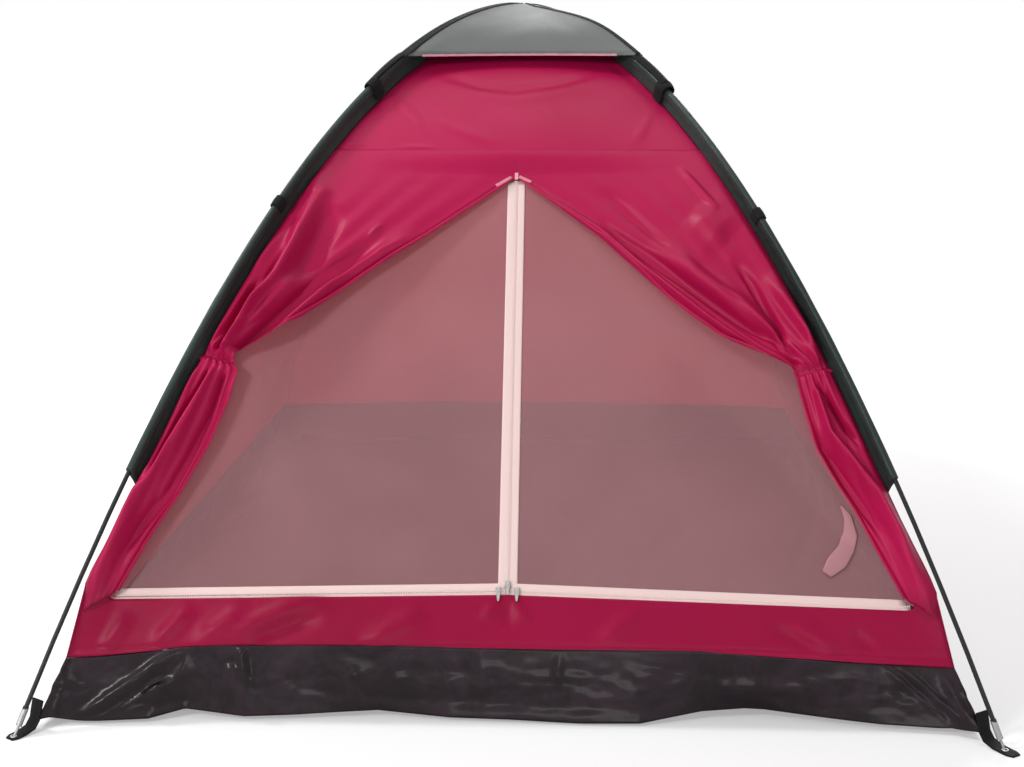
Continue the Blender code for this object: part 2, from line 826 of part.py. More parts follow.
def make_lower_panel():
    """The crimson strip between the tub seam and the level zip."""
    rows = []
    for n in range(WALL_LOWER_ROWS + 1):
        share = n / WALL_LOWER_ROWS
        row = []
        for u in columns(WALL_COLUMNS):
            low = wall_point("front", u, tub_height(u) + FIT, trim=FIT)
            top_height = ZIP_HEIGHT - abs(u) * ZIP_END_DROP
            x = u * (seam_reach(top_height) * across_share - FIT)
            high = on_panel(x, zip_line_rise(x) - (ZIP_TAPE_WIDTH + FIT * 2) / zip_run.x, -CLOTH)
            row.append(low.lerp(high, share))
        rows.append(row)
    sheet("front_lower_panel", rows, crimson, CLOTH)


def hinge_x(rise):
    """How far from the middle a half door's hinge line lies at this rise."""
    share = (apex_rise - rise) / (apex_rise - zip_end.y)
    return ZIP_HALF_LENGTH * min(max(share, 0), 1)


def front_base(x, height):
    """Depth of the mesh's outer face: flat between the hinge lines, then out to the seam."""
    rise = rise_of(height)
    flat = panel_base.y + panel_up.y * rise
    inner = hinge_x(rise)
    reach = seam_reach(height)
    outer = reach * across_share
    share = min(max((abs(x) - inner) / max(outer - inner, 1e-6), 0), 1)
    return lerp(flat, -reach * along_share, share)


def make_mesh_surround():
    """The sewn part of the mesh panel, outside the doors' hinge lines and over their apex."""
    low = ZIP_HEIGHT - ZIP_END_DROP
    bends = wall_heights(low, DOOR_SEAM_HEIGHT - FIT)
    heights = [h for h in bends if abs(h - DOOR_APEX_HEIGHT) > SURROUND_ROW_GAP]
    heights = sorted(heights + [DOOR_APEX_HEIGHT])
    rows = []
    for height in heights:
        lift = FIT if height == low else 0.0
        rise = rise_of(height + lift)
        inner = hinge_x(rise)
        outer = seam_reach(height) * across_share - CLOTH - 2 * FIT
        row = []
        for n in range(SURROUND_COLUMNS + 1):
            x = -lerp(outer, inner, n / SURROUND_COLUMNS)
            row.append(Vector((x, front_base(x, height + lift), height + lift)))
        rows.append(row)
    bm = lattice(rows)
    obj = placed("mesh_surround", bm, insect_mesh)
    mirror = obj.modifiers.new("both_sides", "MIRROR")
    mirror.merge_threshold = 0.0001
    thicken(obj, CLOTH, outward=False)


# Storm doors

curtain_foot = ZIP_HEIGHT - ZIP_END_DROP + CURTAIN_FOOT_RISE


def tie_height(sign):
    return TIE_HEIGHT_LEFT if sign < 0 else TIE_HEIGHT_RIGHT


def edge_sag(sign):
    return EDGE_SAG_LEFT if sign < 0 else EDGE_SAG_RIGHT


def curtain_shape(share, sign):
    """Down a curtain: outer height, free edge x, free edge height, fold depth and clearance."""
    tie = tie_height(sign)
    sag = edge_sag(sign)
    neck = TIE_BAND_HEIGHT * 0.75
    seam_x = seam_reach(tie) * across_share
    neck_x = seam_x - CURTAIN_SEAM_GAP - TIE_NECK_WIDTH
    foot_x = seam_reach(curtain_foot) * across_share - CURTAIN_SEAM_GAP - CURTAIN_FOOT_WIDTH
    top = DOOR_SEAM_HEIGHT - FIT
    neck_space = TIE_BAND_CLOTH + 3 * FIT
    below = lerp(tie, curtain_foot, 0.4)
    keys = [
        (0.00, top, FIT, top, 0.0, 0.0),
        (0.10, lerp(top, tie, 0.12), FIT, DOOR_APEX_HEIGHT, 0.1, 0.0),
        (0.30, lerp(top, tie, 0.42), neck_x * 0.36, lerp(DOOR_APEX_HEIGHT, tie, 0.36) - sag * 0.4, 0.6, 0.2),
        (0.44, lerp(top, tie, 0.74), neck_x * 0.74, lerp(DOOR_APEX_HEIGHT, tie, 0.74) - sag, 0.9, 0.6),
        (0.52, tie + neck, neck_x, tie + neck, 1.0, 1.0),
        (0.58, tie - neck, neck_x, tie - neck, 1.0, 1.0),
        (0.75, below, lerp(neck_x, foot_x, 0.34), below, 1.2, 0.5),
        (1.00, curtain_foot, foot_x, curtain_foot, 0.4, 0.0),
    ]
    shares = [k[0] for k in keys]
    values = [float(np.interp(share, shares, [k[n] for k in keys])) for n in range(1, 6)]
    values[3] *= CURTAIN_FOLD
    values[4] = CURTAIN_CLEARANCE + values[4] * neck_space
    return values


above_tie = [0, 0.05, 0.10, 0.16, 0.23, 0.30, 0.37, 0.44, 0.48]
at_tie = [0.52, 0.55, 0.58]
below_tie = [0.63, 0.69, 0.75, 0.83, 0.91, 1.0]
curtain_shares = above_tie + at_tie + below_tie


def curtain_point(share, u, sign):
    """u runs from the pole seam, 0, to the free edge, 1."""
    outer_height, free_x, free_height, fold, clearance = curtain_shape(share, sign)
    outer_x = seam_reach(outer_height) * across_share - CURTAIN_SEAM_GAP
    height = lerp(outer_height, free_height, u)
    x = lerp(outer_x, free_x, u)
    wave = (1 - math.cos(2 * math.pi * CURTAIN_PLEATS * u)) / 2
    depth = front_base(x, height) - clearance - fold * wave * min(1.0, CURTAIN_SEAM_WAVE + u)
    return Vector((sign * x, depth, height))


def make_storm_doors():
    for name, sign in (("left", -1), ("right", 1)):
        rows = []
        for share in reversed(curtain_shares):
            row = [curtain_point(share, n / CURTAIN_COLUMNS, sign) for n in range(CURTAIN_COLUMNS + 1)]
            rows.append(row if sign < 0 else row[::-1])
        sheet(f"storm_door_{name}", rows, crimson, CLOTH)


def tie_section(outer):
    """Round a gathered curtain from the seam and back to it: pairs of x and how far out."""
    inner = outer - TIE_NECK_WIDTH
    back = CURTAIN_CLEARANCE * 0.6
    front = CURTAIN_CLEARANCE + 2 * TIE_BAND_CLOTH + 5 * FIT + CURTAIN_FOLD + 2 * CLOTH
    return [
        (outer - TIE_SEAM_GAP, back),
        (inner - TIE_EASE / 2, back),
        (inner - TIE_EASE, lerp(back, front, 0.3)),
        (inner - TIE_EASE, lerp(back, front, 0.7)),
        (inner, front),
        (lerp(inner, outer, 0.5), front),
        (outer - TIE_SEAM_GAP, front * 0.72),
    ]


def make_tie_backs():
    """A cloth loop round each gathered curtain, sewn to the pole seam at both ends."""
    for name, sign in (("left", -1), ("right", 1)):
        middle = tie_height(sign)
        section = tie_section(seam_reach(middle) * across_share - CURTAIN_SEAM_GAP)
        rows = []
        for height in (middle - TIE_BAND_HEIGHT / 2, middle, middle + TIE_BAND_HEIGHT / 2):
            row = [Vector((sign * x, front_base(x, height) - out, height)) for x, out in section]
            rows.append(row if sign < 0 else row[::-1])
        sheet(f"tie_back_{name}", rows, crimson, TIE_BAND_CLOTH)


# Zip sliders

def block(name, centre, size):
    """A box in the panel's own directions, to cut or join with."""
    bpy.ops.mesh.primitive_cube_add(size=1)
    obj = bpy.context.active_object
    obj.name = name
    for holder in list(obj.users_collection):
        holder.objects.unlink(obj)
    obj.data.transform(Matrix.Diagonal((*size, 1)))
    obj.matrix_world = panel_frame @ Matrix.Translation(centre)
    return obj


def slider_shell(name, x, rise, turn, base):
    """A slider's tapered shell: turn is the way that it runs along its zip, in the panel."""
    bm = bmesh.new()
    bmesh.ops.create_cube(bm, size=1)
    for vert in bm.verts:
        taper = SLIDER_NOSE if vert.co.y < 0 else 1.0
        crown = SLIDER_CROWN if vert.co.z > 0 else 1.0
        vert.co.x *= SLIDER_WIDTH * taper * crown
        vert.co.y *= SLIDER_LENGTH * crown
        vert.co.z = base + SLIDER_DEPTH * (vert.co.z + 0.5)
    body = placed(name, bm, zip_metal, smooth=False)
    body.matrix_world = panel_frame @ Matrix.Translation((x, rise, 0)) @ Matrix.Rotation(turn, 4, "Z")
    edge = body.modifiers.new("edge", "BEVEL")
    edge.width = SLIDER_EDGE
    edge.segments = 1
    return body


def join_to(body, helper, name):
    helper.hide_render = True
    helper.display_type = "WIRE"
    cutters.objects.link(helper)
    join = body.modifiers.new(name, "BOOLEAN")
    join.operation = "UNION"
    join.object = helper


def storm_zip_slider():
    """The storm doors' own slider, run up to the top of their zip, in one piece with its pull."""
    base = CURTAIN_CLEARANCE * math.cos(front_lean) + CLOTH + FIT
    rise = apex_rise + SLIDER_LENGTH * 0.6
    body = slider_shell("storm_zip_slider", 0, rise, 0, base)
    middle = (0, rise - PULL_LENGTH * 0.4, base + SLIDER_DEPTH + PULL_THICKNESS * 0.4)
    pull = block("storm_zip_pull", middle, (PULL_WIDTH, PULL_LENGTH * 0.8, PULL_THICKNESS * 1.2))
    join_to(body, pull, "pull")


def slider_body(name, x, rise, turn):
    """A slider with the bail that carries its pull."""
    base = ZIP_COIL_RISE + FIT
    body = slider_shell(name, x, rise, turn, base)
    shell_top = base + SLIDER_DEPTH
    bail_middle = (x, rise, shell_top + (BAIL_RISE - BAIL_STEM) / 2)
    bail_size = (BAIL_WIDTH, bail_length + 2 * BAIL_STEM, BAIL_RISE + BAIL_STEM)
    bail = block(f"{name}_bail", bail_middle, bail_size)
    gap_size = (BAIL_WIDTH * 3, bail_length, BAIL_RISE - BAIL_STEM)
    gap = block(f"{name}_bail_gap", (bail_middle[0], rise, bail_middle[2] + FIT / 3), gap_size)
    gap.hide_render = True
    gap.display_type = "WIRE"
    cutters.objects.link(gap)
    hole = bail.modifiers.new("gap", "BOOLEAN")
    hole.operation = "DIFFERENCE"
    hole.object = gap
    join_to(body, bail, "bail")


bail_length = 2 * PULL_BAR + 4 * FIT
pull_out = ZIP_COIL_RISE + FIT + SLIDER_DEPTH + FIT + PULL_BAR / 2


def pull_tab(name, x, rise):
    """A pull whose top bar lies under the bail: it hangs down over the slider."""
    half = PULL_WIDTH / 2
    eye = BAIL_WIDTH / 2 + 2 * FIT
    top = PULL_BAR / 2
    tip_edge = [(half * 0.3, -PULL_LENGTH), (half * 0.62, half - PULL_LENGTH)]
    right_edge = tip_edge + [(half, top - PULL_WINDOW), (half, top)]
    left_edge = [(-x_edge, y_edge) for x_edge, y_edge in reversed(right_edge)]
    outline = [Vector(p) for p in left_edge + right_edge]
    hole = [(-eye, top - PULL_BAR), (eye, top - PULL_BAR), (eye, -PULL_WINDOW), (-eye, -PULL_WINDOW)]
    obj = flat_plate(name, outline, zip_metal, PULL_THICKNESS)
    inner = obj.data.splines.new("POLY")
    inner.points.add(3)
    for point, corner in zip(inner.points, hole):
        point.co = (*corner, 0, 1)
    inner.use_cyclic_u = True
    obj.matrix_world = panel_frame @ Matrix.Translation((x, rise, pull_out))
    return obj


def make_sliders():
    side_rise = zip_end.y * SLIDER_SPACING / ZIP_HALF_LENGTH
    side_turn = math.atan2(zip_end.y, zip_end.x)
    up_rise = SLIDER_LENGTH * 0.75
    slider_body("door_slider_up", 0, up_rise, 0)
    pull_tab("door_slider_up_pull", 0, up_rise)
    slider_body("door_slider_left", -SLIDER_SPACING, side_rise, -side_turn)
    pull_tab("door_slider_left_pull", -SLIDER_SPACING, side_rise)
    slider_body("door_slider_right", SLIDER_SPACING, side_rise, side_turn)
    pull_tab("door_slider_right_pull", SLIDER_SPACING, side_rise)


# Corner webbing

def make_corner_tabs():
    """Webbing from the tub's corner to an eyelet for the pole's tip, with a peg hole beyond it."""
    tub_corner = Vector((corner_reach, TUB_CORNER_LIFT))
    tub_rim_corner = Vector((seam_reach(TUB_CORNER_HEIGHT), TUB_CORNER_HEIGHT))
    corner_run = (tub_rim_corner - tub_corner).normalized()
    out_of_corner = Vector((corner_run.y, -corner_run.x))
    offset = out_of_corner * (FIT + TAB_SHEET / 2)
    line = [
        tub_corner + corner_run * TAB_RISE + offset,
        tub_corner + offset,
        Vector((foot_reach - TAB_LANDING, TAB_SHEET / 2)),
        Vector((foot_reach + TAB_TAIL, TAB_SHEET / 2)),
    ]
    for corner in CORNERS:
        along, square = bearing(corner)
        rows = []
        for station in line:
            centre = along * station.x + Vector((0, 0, station.y))
            rows.append([centre - square * TAB_WIDTH / 2, centre + square * TAB_WIDTH / 2])
        tab = placed(f"corner_tab_{corner}", lattice(rows), webbing, smooth=False)
        shell = tab.modifiers.new("cloth", "SOLIDIFY")
        shell.thickness = TAB_SHEET
        shell.offset = 0
        shell.use_even_offset = True
        add_eyelet(tab, corner)


def round_helper(name, radius, length, centre, axis, sides=16):
    bpy.ops.mesh.primitive_cylinder_add(vertices=sides, radius=radius, depth=length)
    obj = bpy.context.active_object
    obj.name = name
    for holder in list(obj.users_collection):
        holder.objects.unlink(obj)
    obj.matrix_world = Matrix.Translation(centre) @ axis.to_track_quat("Z", "Y").to_matrix().to_4x4()
    obj.hide_render = True
    obj.display_type = "WIRE"
    cutters.objects.link(obj)
    return obj


def add_eyelet(tab, corner):
    foot = on_half(corner, 0.0)
    pole_way = (on_half(corner, TIP_PIN_LENGTH) - foot).normalized()
    upright = Vector((0, 0, 1))
    hole_radius = TIP_PIN_RADIUS + PIN_EASE
    rim_radius = hole_radius + EYELET_RIM
    rim_top = TAB_SHEET + EYELET_RISE
    rim_centre = foot + upright * (rim_top + FIT) / 2
    rim = round_helper(f"{tab.name}_rim", rim_radius, rim_top - FIT, rim_centre, upright)
    hole_centre = foot + pole_way * TAB_SHEET
    hole = round_helper(f"{tab.name}_hole", hole_radius, CUTTER_LENGTH, hole_centre, pole_way)
    peg_centre = bearing(corner)[0] * (foot_reach + PEG_HOLE_REACH)
    peg = round_helper(f"{tab.name}_peg_hole", PEG_HOLE_RADIUS, CUTTER_LENGTH, peg_centre, upright)
    steps = (("rim", "UNION", rim), ("hole", "DIFFERENCE", hole), ("peg", "DIFFERENCE", peg))
    for name, operation, helper in steps:
        step = tab.modifiers.new(name, "BOOLEAN")
        step.operation = operation
        step.object = helper


make_poles()
make_sleeves()
make_guy_bands()
make_cap_ties()
make_walls()
sheet("front_top_panel", front_top_rows(), crimson, CLOTH)
make_tub()
make_roof()
make_mesh_doors()
make_lower_tape()
make_lower_panel()
make_mesh_surround()
make_storm_doors()
make_tie_backs()
make_sliders()
storm_zip_slider()
make_corner_tabs()
print("pole length", round(pole_length, 4), "panel lean", round(math.degrees(front_lean), 3))
for name, point in (
    ("panel_up", panel_up), ("panel_out", panel_out),
    ("hinge foot left, inner face", on_panel(-zip_end.x, zip_end.y, -CLOTH)),
    ("apex, inner face", on_panel(0, apex_rise, -CLOTH)),
    ("zip run right", panel_up * zip_run.y + Vector((zip_run.x, 0, 0))),
    ("pull up", on_panel(0, SLIDER_LENGTH * 0.75, pull_out)),
    ("pull right", on_panel(SLIDER_SPACING, zip_end.y * SLIDER_SPACING / ZIP_HALF_LENGTH, pull_out)),
):
    print(name, [round(c, 6) for c in point])
print("apex rise", round(apex_rise, 5), "foot reach", round(foot_reach, 5))
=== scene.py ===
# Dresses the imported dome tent: coated cloth with its folds, insect mesh, zips, webbing and a pale studio.
import math

import bmesh
import bpy
import numpy as np
from mathutils import Matrix, Vector, noise


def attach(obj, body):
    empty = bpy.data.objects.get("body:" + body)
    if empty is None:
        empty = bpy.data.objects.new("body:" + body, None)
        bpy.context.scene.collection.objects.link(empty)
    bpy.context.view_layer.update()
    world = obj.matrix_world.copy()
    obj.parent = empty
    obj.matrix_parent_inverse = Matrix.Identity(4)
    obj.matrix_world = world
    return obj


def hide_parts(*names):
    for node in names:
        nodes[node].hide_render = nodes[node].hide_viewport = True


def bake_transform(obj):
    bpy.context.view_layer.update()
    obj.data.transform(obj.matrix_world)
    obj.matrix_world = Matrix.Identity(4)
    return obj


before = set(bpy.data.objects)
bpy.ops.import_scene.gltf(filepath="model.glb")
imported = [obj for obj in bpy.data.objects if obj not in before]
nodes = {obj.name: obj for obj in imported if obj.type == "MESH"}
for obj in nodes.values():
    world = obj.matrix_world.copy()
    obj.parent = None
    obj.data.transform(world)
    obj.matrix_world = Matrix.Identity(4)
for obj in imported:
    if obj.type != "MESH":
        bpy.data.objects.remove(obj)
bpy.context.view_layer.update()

# the tent's own sizes, in metres, as the poles and seams set them
tent = {
    "halfWidth": 0.70, "halfLength": 1.00, "footPastCorner": 0.040,
    # both poles have one bend, and each its own height at the crossing
    "poleBend": 1.92, "overTop": 1.0909, "underTop": 1.0836,
    # how far below the lower pole the flat front's line and the cloth's seam lie
    "frameBelowPole": 0.038, "clothBelowPole": 0.0250,
    "sleeveEnd": 0.355, "ventHeight": 0.9986, "tubCorner": 0.095, "tubMiddle": 0.109,
    "zipHeight": 0.188, "zipEndDrop": 0.013, "zipHalf": 0.600, "apexHeight": 0.785, "doorSeam": 0.832,
    # how far each level zip's outer end lies above the plain line
    "zipEndShift": {"left": 0.0015, "right": -0.0035},
    # the loose seam below the sleeves stands out past its straight line, by height
    "seamBulge": [(0.10, 0), (0.12, 0.003), (0.14, 0.0055), (0.16, 0.010), (0.18, 0.016), (0.20, 0.025),
                  (0.22, 0.024), (0.24, 0.020), (0.26, 0.015), (0.28, 0.011), (0.30, 0.007), (0.33, 0.003), (0.355, 0)],
    # the groundsheet stands higher along the front, by share across
    "frontRaise": [(-1, 0), (-0.93, 0), (-0.84, 0.004), (-0.75, 0.009), (-0.655, 0.011), (-0.56, 0.0095),
                   (-0.29, 0.008), (-0.107, 0.006), (0.075, 0.005), (0.258, 0.006), (0.44, 0.007), (0.62, 0.003),
                   (0.80, 0), (1, 0)],
}
cornerReach = math.hypot(tent["halfWidth"], tent["halfLength"])
footReach = cornerReach + tent["footPastCorner"]
acrossShare, alongShare = tent["halfWidth"] / cornerReach, tent["halfLength"] / cornerReach

corners = {"front_left": (-1, -1), "front_right": (1, -1), "rear_left": (-1, 1), "rear_right": (1, 1)}
overCorners = ("front_left", "rear_right")
poleTop = {corner: tent["overTop" if corner in overCorners else "underTop"] for corner in corners}
outAlong = {corner: Vector((x * acrossShare, y * alongShare, 0)) for corner, (x, y) in corners.items()}
squareTo = {corner: Vector((-out.y, out.x, 0)) for corner, out in outAlong.items()}
sides = {"front": (0, -1), "rear": (0, 1), "left": (-1, 0), "right": (1, 0)}
depthShare = {side: alongShare if outY else acrossShare for side, (outX, outY) in sides.items()}
halfShare = {side: acrossShare if outY else alongShare for side, (outX, outY) in sides.items()}
skyward = Vector((0, 0, 1))


def mix(a, b, share):
    return a + (b - a) * share


def ease(share):
    share = min(max(share, 0), 1)
    return share * share * (3 - 2 * share)


def bell(value, middle, width):
    return math.exp(-(((value - middle) / width) ** 2))


def lookUp(value, rows, column=1):
    return float(np.interp(value, [row[0] for row in rows], [row[column] for row in rows]))


# pole and seam lines: reach is the level distance from the crossing towards a corner

def poleHeight(reach, top):
    return top * (1 - (reach / footReach) ** tent["poleBend"])


def poleNormal(reach, top):  # its outward and upward parts
    slope = -top * tent["poleBend"] / footReach * (reach / footReach) ** (tent["poleBend"] - 1)
    size = math.hypot(slope, 1)
    return -slope / size, 1 / size


def reachAtHeight(height):
    return footReach * max(1 - height / tent["underTop"], 0) ** (1 / tent["poleBend"])


# height and reach of a line under the lower pole, from the ground to the crossing
def lineUnderPole(below):
    rows = [(0.0, cornerReach)]
    for reach in np.linspace(footReach, 0, 1200):
        height = poleHeight(reach, tent["underTop"])
        if height >= tent["sleeveEnd"]:
            out, rise = poleNormal(reach, tent["underTop"])
            rows.append((height - below * rise, reach - below * out))
    return rows


clothLine = lineUnderPole(tent["clothBelowPole"])
seamStep = 0.0005
seamReaches = [lookUp(height, clothLine) + lookUp(height, tent["seamBulge"])
               for height in np.arange(0, tent["underTop"], seamStep)]


def seamReach(height):
    at = min(max(height / seamStep, 0), len(seamReaches) - 1.001)
    low = int(at)
    return mix(seamReaches[low], seamReaches[low + 1], at - low)


# the flat panel between the mesh doors' fold lines leans back from the zip to the seam over the doors
panelLine = lineUnderPole(tent["frameBelowPole"])
zipDepth = lookUp(tent["zipHeight"], panelLine) * alongShare
seamDepth = lookUp(tent["doorSeam"], panelLine) * alongShare - 0.0008
frontLean = math.atan2(zipDepth - seamDepth, tent["doorSeam"] - tent["zipHeight"])
panelUp = Vector((0, math.sin(frontLean), math.cos(frontLean)))
panelOut = Vector((0, -math.cos(frontLean), math.sin(frontLean)))
panelBase = Vector((0, -zipDepth, tent["zipHeight"]))
apexRise = (tent["apexHeight"] - tent["zipHeight"]) / math.cos(frontLean)
zipEndRise = -tent["zipEndDrop"] / math.cos(frontLean)


def onPanel(x, rise, out=0.0):
    return panelBase + Vector((x, 0, 0)) + panelUp * rise + panelOut * out


# depth of the mesh at x and height: flat between the fold lines, then out to the corner seam
def frontDepth(x, height):
    rise = (height - tent["zipHeight"]) / math.cos(frontLean)
    flat = panelBase.y + panelUp.y * rise
    inner = tent["zipHalf"] * min(max((apexRise - rise) / (apexRise - zipEndRise), 0), 1)
    reach = seamReach(height)
    share = min(max((abs(x) - inner) / max(reach * acrossShare - inner, 1e-6), 0), 1)
    return flat + (-reach * alongShare - flat) * share


def onFront(x, height, out=0.0):
    return Vector((x, frontDepth(x, height), height)) + panelOut * out


# making and placing pieces

def newObject(name, bm, finish):
    mesh = bpy.data.meshes.new(name)
    bm.to_mesh(mesh)
    bm.free()
    mesh.materials.append(finish)
    mesh.shade_smooth()
    piece = bpy.data.objects.new(name, mesh)
    bpy.context.scene.collection.objects.link(piece)
    return piece


# a grid of cloth: place turns shares across and up into a point, and the UV map is in metres of cloth
def gridSheet(columns, rows, place, flat, ring=False):
    bm = bmesh.new()
    uvLayer = bm.loops.layers.uv.new("UVMap")
    bmesh.ops.create_grid(bm, x_segments=columns, y_segments=rows, size=0.5, calc_uvs=True)
    for face in bm.faces:
        for loop in face.loops:
            loop[uvLayer].uv = ((loop.vert.co.x + 0.5) * flat[0], (loop.vert.co.y + 0.5) * flat[1])
    for vert in bm.verts:
        vert.co = place(vert.co.x + 0.5, vert.co.y + 0.5)
    if ring:
        bmesh.ops.remove_doubles(bm, verts=bm.verts, dist=1e-5)
    bm.normal_update()
    return bm


def areaOf(bm):
    return sum(face.calc_area() for face in bm.faces)


# a fold's line, its width at both ends and its height, and its strength at both ends, drawn in millimetres
def fold(line, width, height, ends=(0, 0), perMetre=1000):
    return {"line": np.array(line, float) / perMetre, "width": [w / perMetre for w in width],
            "height": height / perMetre, "ends": ends}


def foldDepths(places, folds):
    lifted = np.zeros(len(places))
    for one in folds:
        runs = np.diff(one["line"], axis=0)
        lengths = np.linalg.norm(runs, axis=1)
        starts = np.concatenate([[0], np.cumsum(lengths)]) / lengths.sum()
        nearest, along = np.full(len(places), 1e9), np.zeros(len(places))
        for start, run, length, first, last in zip(one["line"], runs, lengths, starts, starts[1:]):
            share = np.clip(((places - start) @ run) / length**2, 0, 1)
            gap = np.linalg.norm(places - start - share[:, None] * run, axis=1)
            closer = gap < nearest
            nearest[closer] = gap[closer]
            along[closer] = mix(first, last, share)[closer]
        width = mix(one["width"][0], one["width"][1], along)
        strength = np.interp(along, [0, 0.3, 0.7, 1], [one["ends"][0], 1, 1, one["ends"][1]])
        lifted += one["height"] * strength * np.exp(-((nearest / width) ** 2))
    return lifted


# lifts the sheet by folds drawn in two of its axes, and returns the flat cut's area from before
def pressFolds(bm, folds, axes=(0, 2), direction=None, keep=lambda point: 1):
    area = areaOf(bm)
    verts = list(bm.verts)
    places = np.array([(v.co[axes[0]], v.co[axes[1]]) for v in verts])
    for vert, lift in zip(verts, foldDepths(places, folds)):
        vert.co += (direction or vert.normal) * lift * keep(vert.co)
    return area


# joins doubled points and turns the faces of a closed shape outwards
def weld(bm, gap):
    bmesh.ops.remove_doubles(bm, verts=bm.verts, dist=gap)
    bmesh.ops.recalc_face_normals(bm, faces=bm.faces)


# turns the whole sheet so that its faces look the way that away gives for their middles
def turnFaces(bm, away):
    bm.normal_update()
    if sum(face.normal.dot(away(face.calc_center_median())) for face in bm.faces) < 0:
        bmesh.ops.reverse_faces(bm, faces=bm.faces)
    bm.normal_update()


# a new piece rides on its body, or with two bodies stays unattached, takes its finish's slot and hides the CAD nodes it
# stands for
def sewn(name, bm, finish, stands=(), body="tent"):
    piece = newObject(name, bm, finish)
    if isinstance(body, str):
        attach(piece, body)
    else:
        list(body[:2])
        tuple(body[2])
        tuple(body[3])
        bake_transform(piece)
    if stands:
        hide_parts(*stands)
    return piece


def cloth(name, bm, finish, stands=(), body="tent", area=None, thick=0.0007, offset=-1):
    area = area or areaOf(bm)
    piece = sewn(name, bm, finish, stands, body)
    if thick:
        wall = piece.modifiers.new("thickness", "SOLIDIFY")
        wall.thickness, wall.offset = thick, offset


# materials

def colour(*channels):
    shares = [channel / 255 for channel in channels]
    return (*[s / 12.92 if s <= 0.04045 else ((s + 0.055) / 1.055) ** 2.4 for s in shares], 1)


class Nodes:  # short ways to add and join a finish's nodes
    def __init__(self, block):
        self.block = block
        block.use_nodes = True
        self.tree = block.node_tree
        self.shader = self.tree.nodes.get("Principled BSDF") or self.tree.nodes["Background"]

    def fill(self, socket, value):
        if isinstance(value, bpy.types.NodeSocket):
            self.tree.links.new(value, socket)
        else:
            socket.default_value = value

    def add(self, kind, inputs=None, **settings):
        node = self.tree.nodes.new("ShaderNode" + kind)
        for key, value in settings.items():
            setattr(node, key, value)
        for key, value in (inputs or {}).items():
            self.fill(node.inputs[key], value)
        return node

    def set(self, **inputs):
        for key, value in inputs.items():
            self.fill(self.shader.inputs[key.replace("_", " ")], value)

    def math(self, operation, a, b=0.0, c=0.0, clamp=False):
        return self.add("Math", {0: a, 1: b, 2: c}, operation=operation, use_clamp=clamp).outputs[0]

    def span(self, value, low, high, toLow=0.0, toHigh=1.0, smooth=True):
        inputs = {"Value": value, "From Min": low, "From Max": high, "To Min": toLow, "To Max": toHigh}
        return self.add("MapRange", inputs, interpolation_type="SMOOTHSTEP" if smooth else "LINEAR").outputs["Result"]

    def blend(self, share, a, b):
        return self.add("Mix", {"Factor": share, "A": a, "B": b}, data_type="RGBA").outputs["Result"]

    def noise(self, where, scale, detail=3.0, roughness=0.5, distortion=0.0):
        inputs = {"Vector": where, "Scale": scale, "Detail": detail, "Roughness": roughness, "Distortion": distortion}
        return self.add("TexNoise", inputs).outputs["Fac"]

    def bump(self, height, strength, distance, under=None):
        inputs = {"Height": height, "Strength": strength, "Distance": distance}
        return self.add("Bump", inputs | ({"Normal": under} if under else {})).outputs["Normal"]

    def place(self, output="Object"):
        return self.add("TexCoord").outputs[output]

    def height(self, solid):
        return self.add("SeparateXYZ", {0: solid}).outputs["Z"]

    def show(self, share, first, second):
        both = self.add("MixShader", {0: share, 1: first.outputs[0], 2: second.outputs[0]})
        self.tree.links.new(both.outputs[0], self.tree.nodes["Material Output"].inputs["Surface"])

    # height of a plain weave whose threads lie pitch apart, on the UV map in metres
    def threads(self, pitch):
        inputs = {"Vector": self.place("UV"), "Scale": 0.31416 / pitch}
        return self.math("MULTIPLY", *(self.add("TexWave", inputs, bands_direction=d).outputs["Fac"] for d in "XY"))


def newFinish(name):
    made = Nodes(bpy.data.materials.new(name))
    return made, made.place()


# thin coated polyester: fine weave, soft crumples, uneven gloss, and light that comes through
coating = {
    "weave": 0.0009, "crumple": 13, "crumpleHeight": 0.16, "rough": (0.36, 0.46), "shine": 0.2, "through": 0.32,
    # foot is a darker colour painted on the cloth's lower part, between two heights: painted shade
    "foot": None, "footShadeEdge": (0.165, 0.215),
}


def coatedCloth(name, **own):
    s = coating | own
    made, solid = newFinish(name)
    weave = made.threads(s["weave"])
    crumple = made.noise(solid, s["crumple"], 5, 0.62, 0.9)
    tone = made.blend(made.span(made.noise(solid, 2.4, 2), 0.3, 0.7), s["dark"], s["light"])
    tone = made.blend(made.math("MULTIPLY", weave, 0.10), tone, s["dark"])
    if s["foot"]:  # painted shade: the cloth's lower part takes the darker foot colour, as less light comes through beside the dark groundsheet
        tone = made.blend(made.span(made.height(solid), *s["footShadeEdge"]), s["foot"], tone)
    normal = made.bump(weave, 0.18, 0.0002, made.bump(crumple, s["crumpleHeight"], 0.006))
    made.set(Base_Color=tone, Roughness=made.span(crumple, 0.25, 0.75, *s["rough"]), Normal=normal,
             Specular_IOR_Level=s["shine"])
    if s["through"]:
        made.show(s["through"], made.shader, made.add("BsdfTranslucent", {"Color": tone, "Normal": normal}))
    return made.block


# coated groundsheet: dark, glossy, and creased where it was folded
tubFinish = {
    "dark": colour(24, 15, 20), "light": colour(43, 30, 37), "floor": colour(24, 18, 22),
    "crumple": 10, "weave": 0.0022, "rough": (0.32, 0.44), "shine": 0.13, "coat": 0.12, "coatRough": 0.14,
}


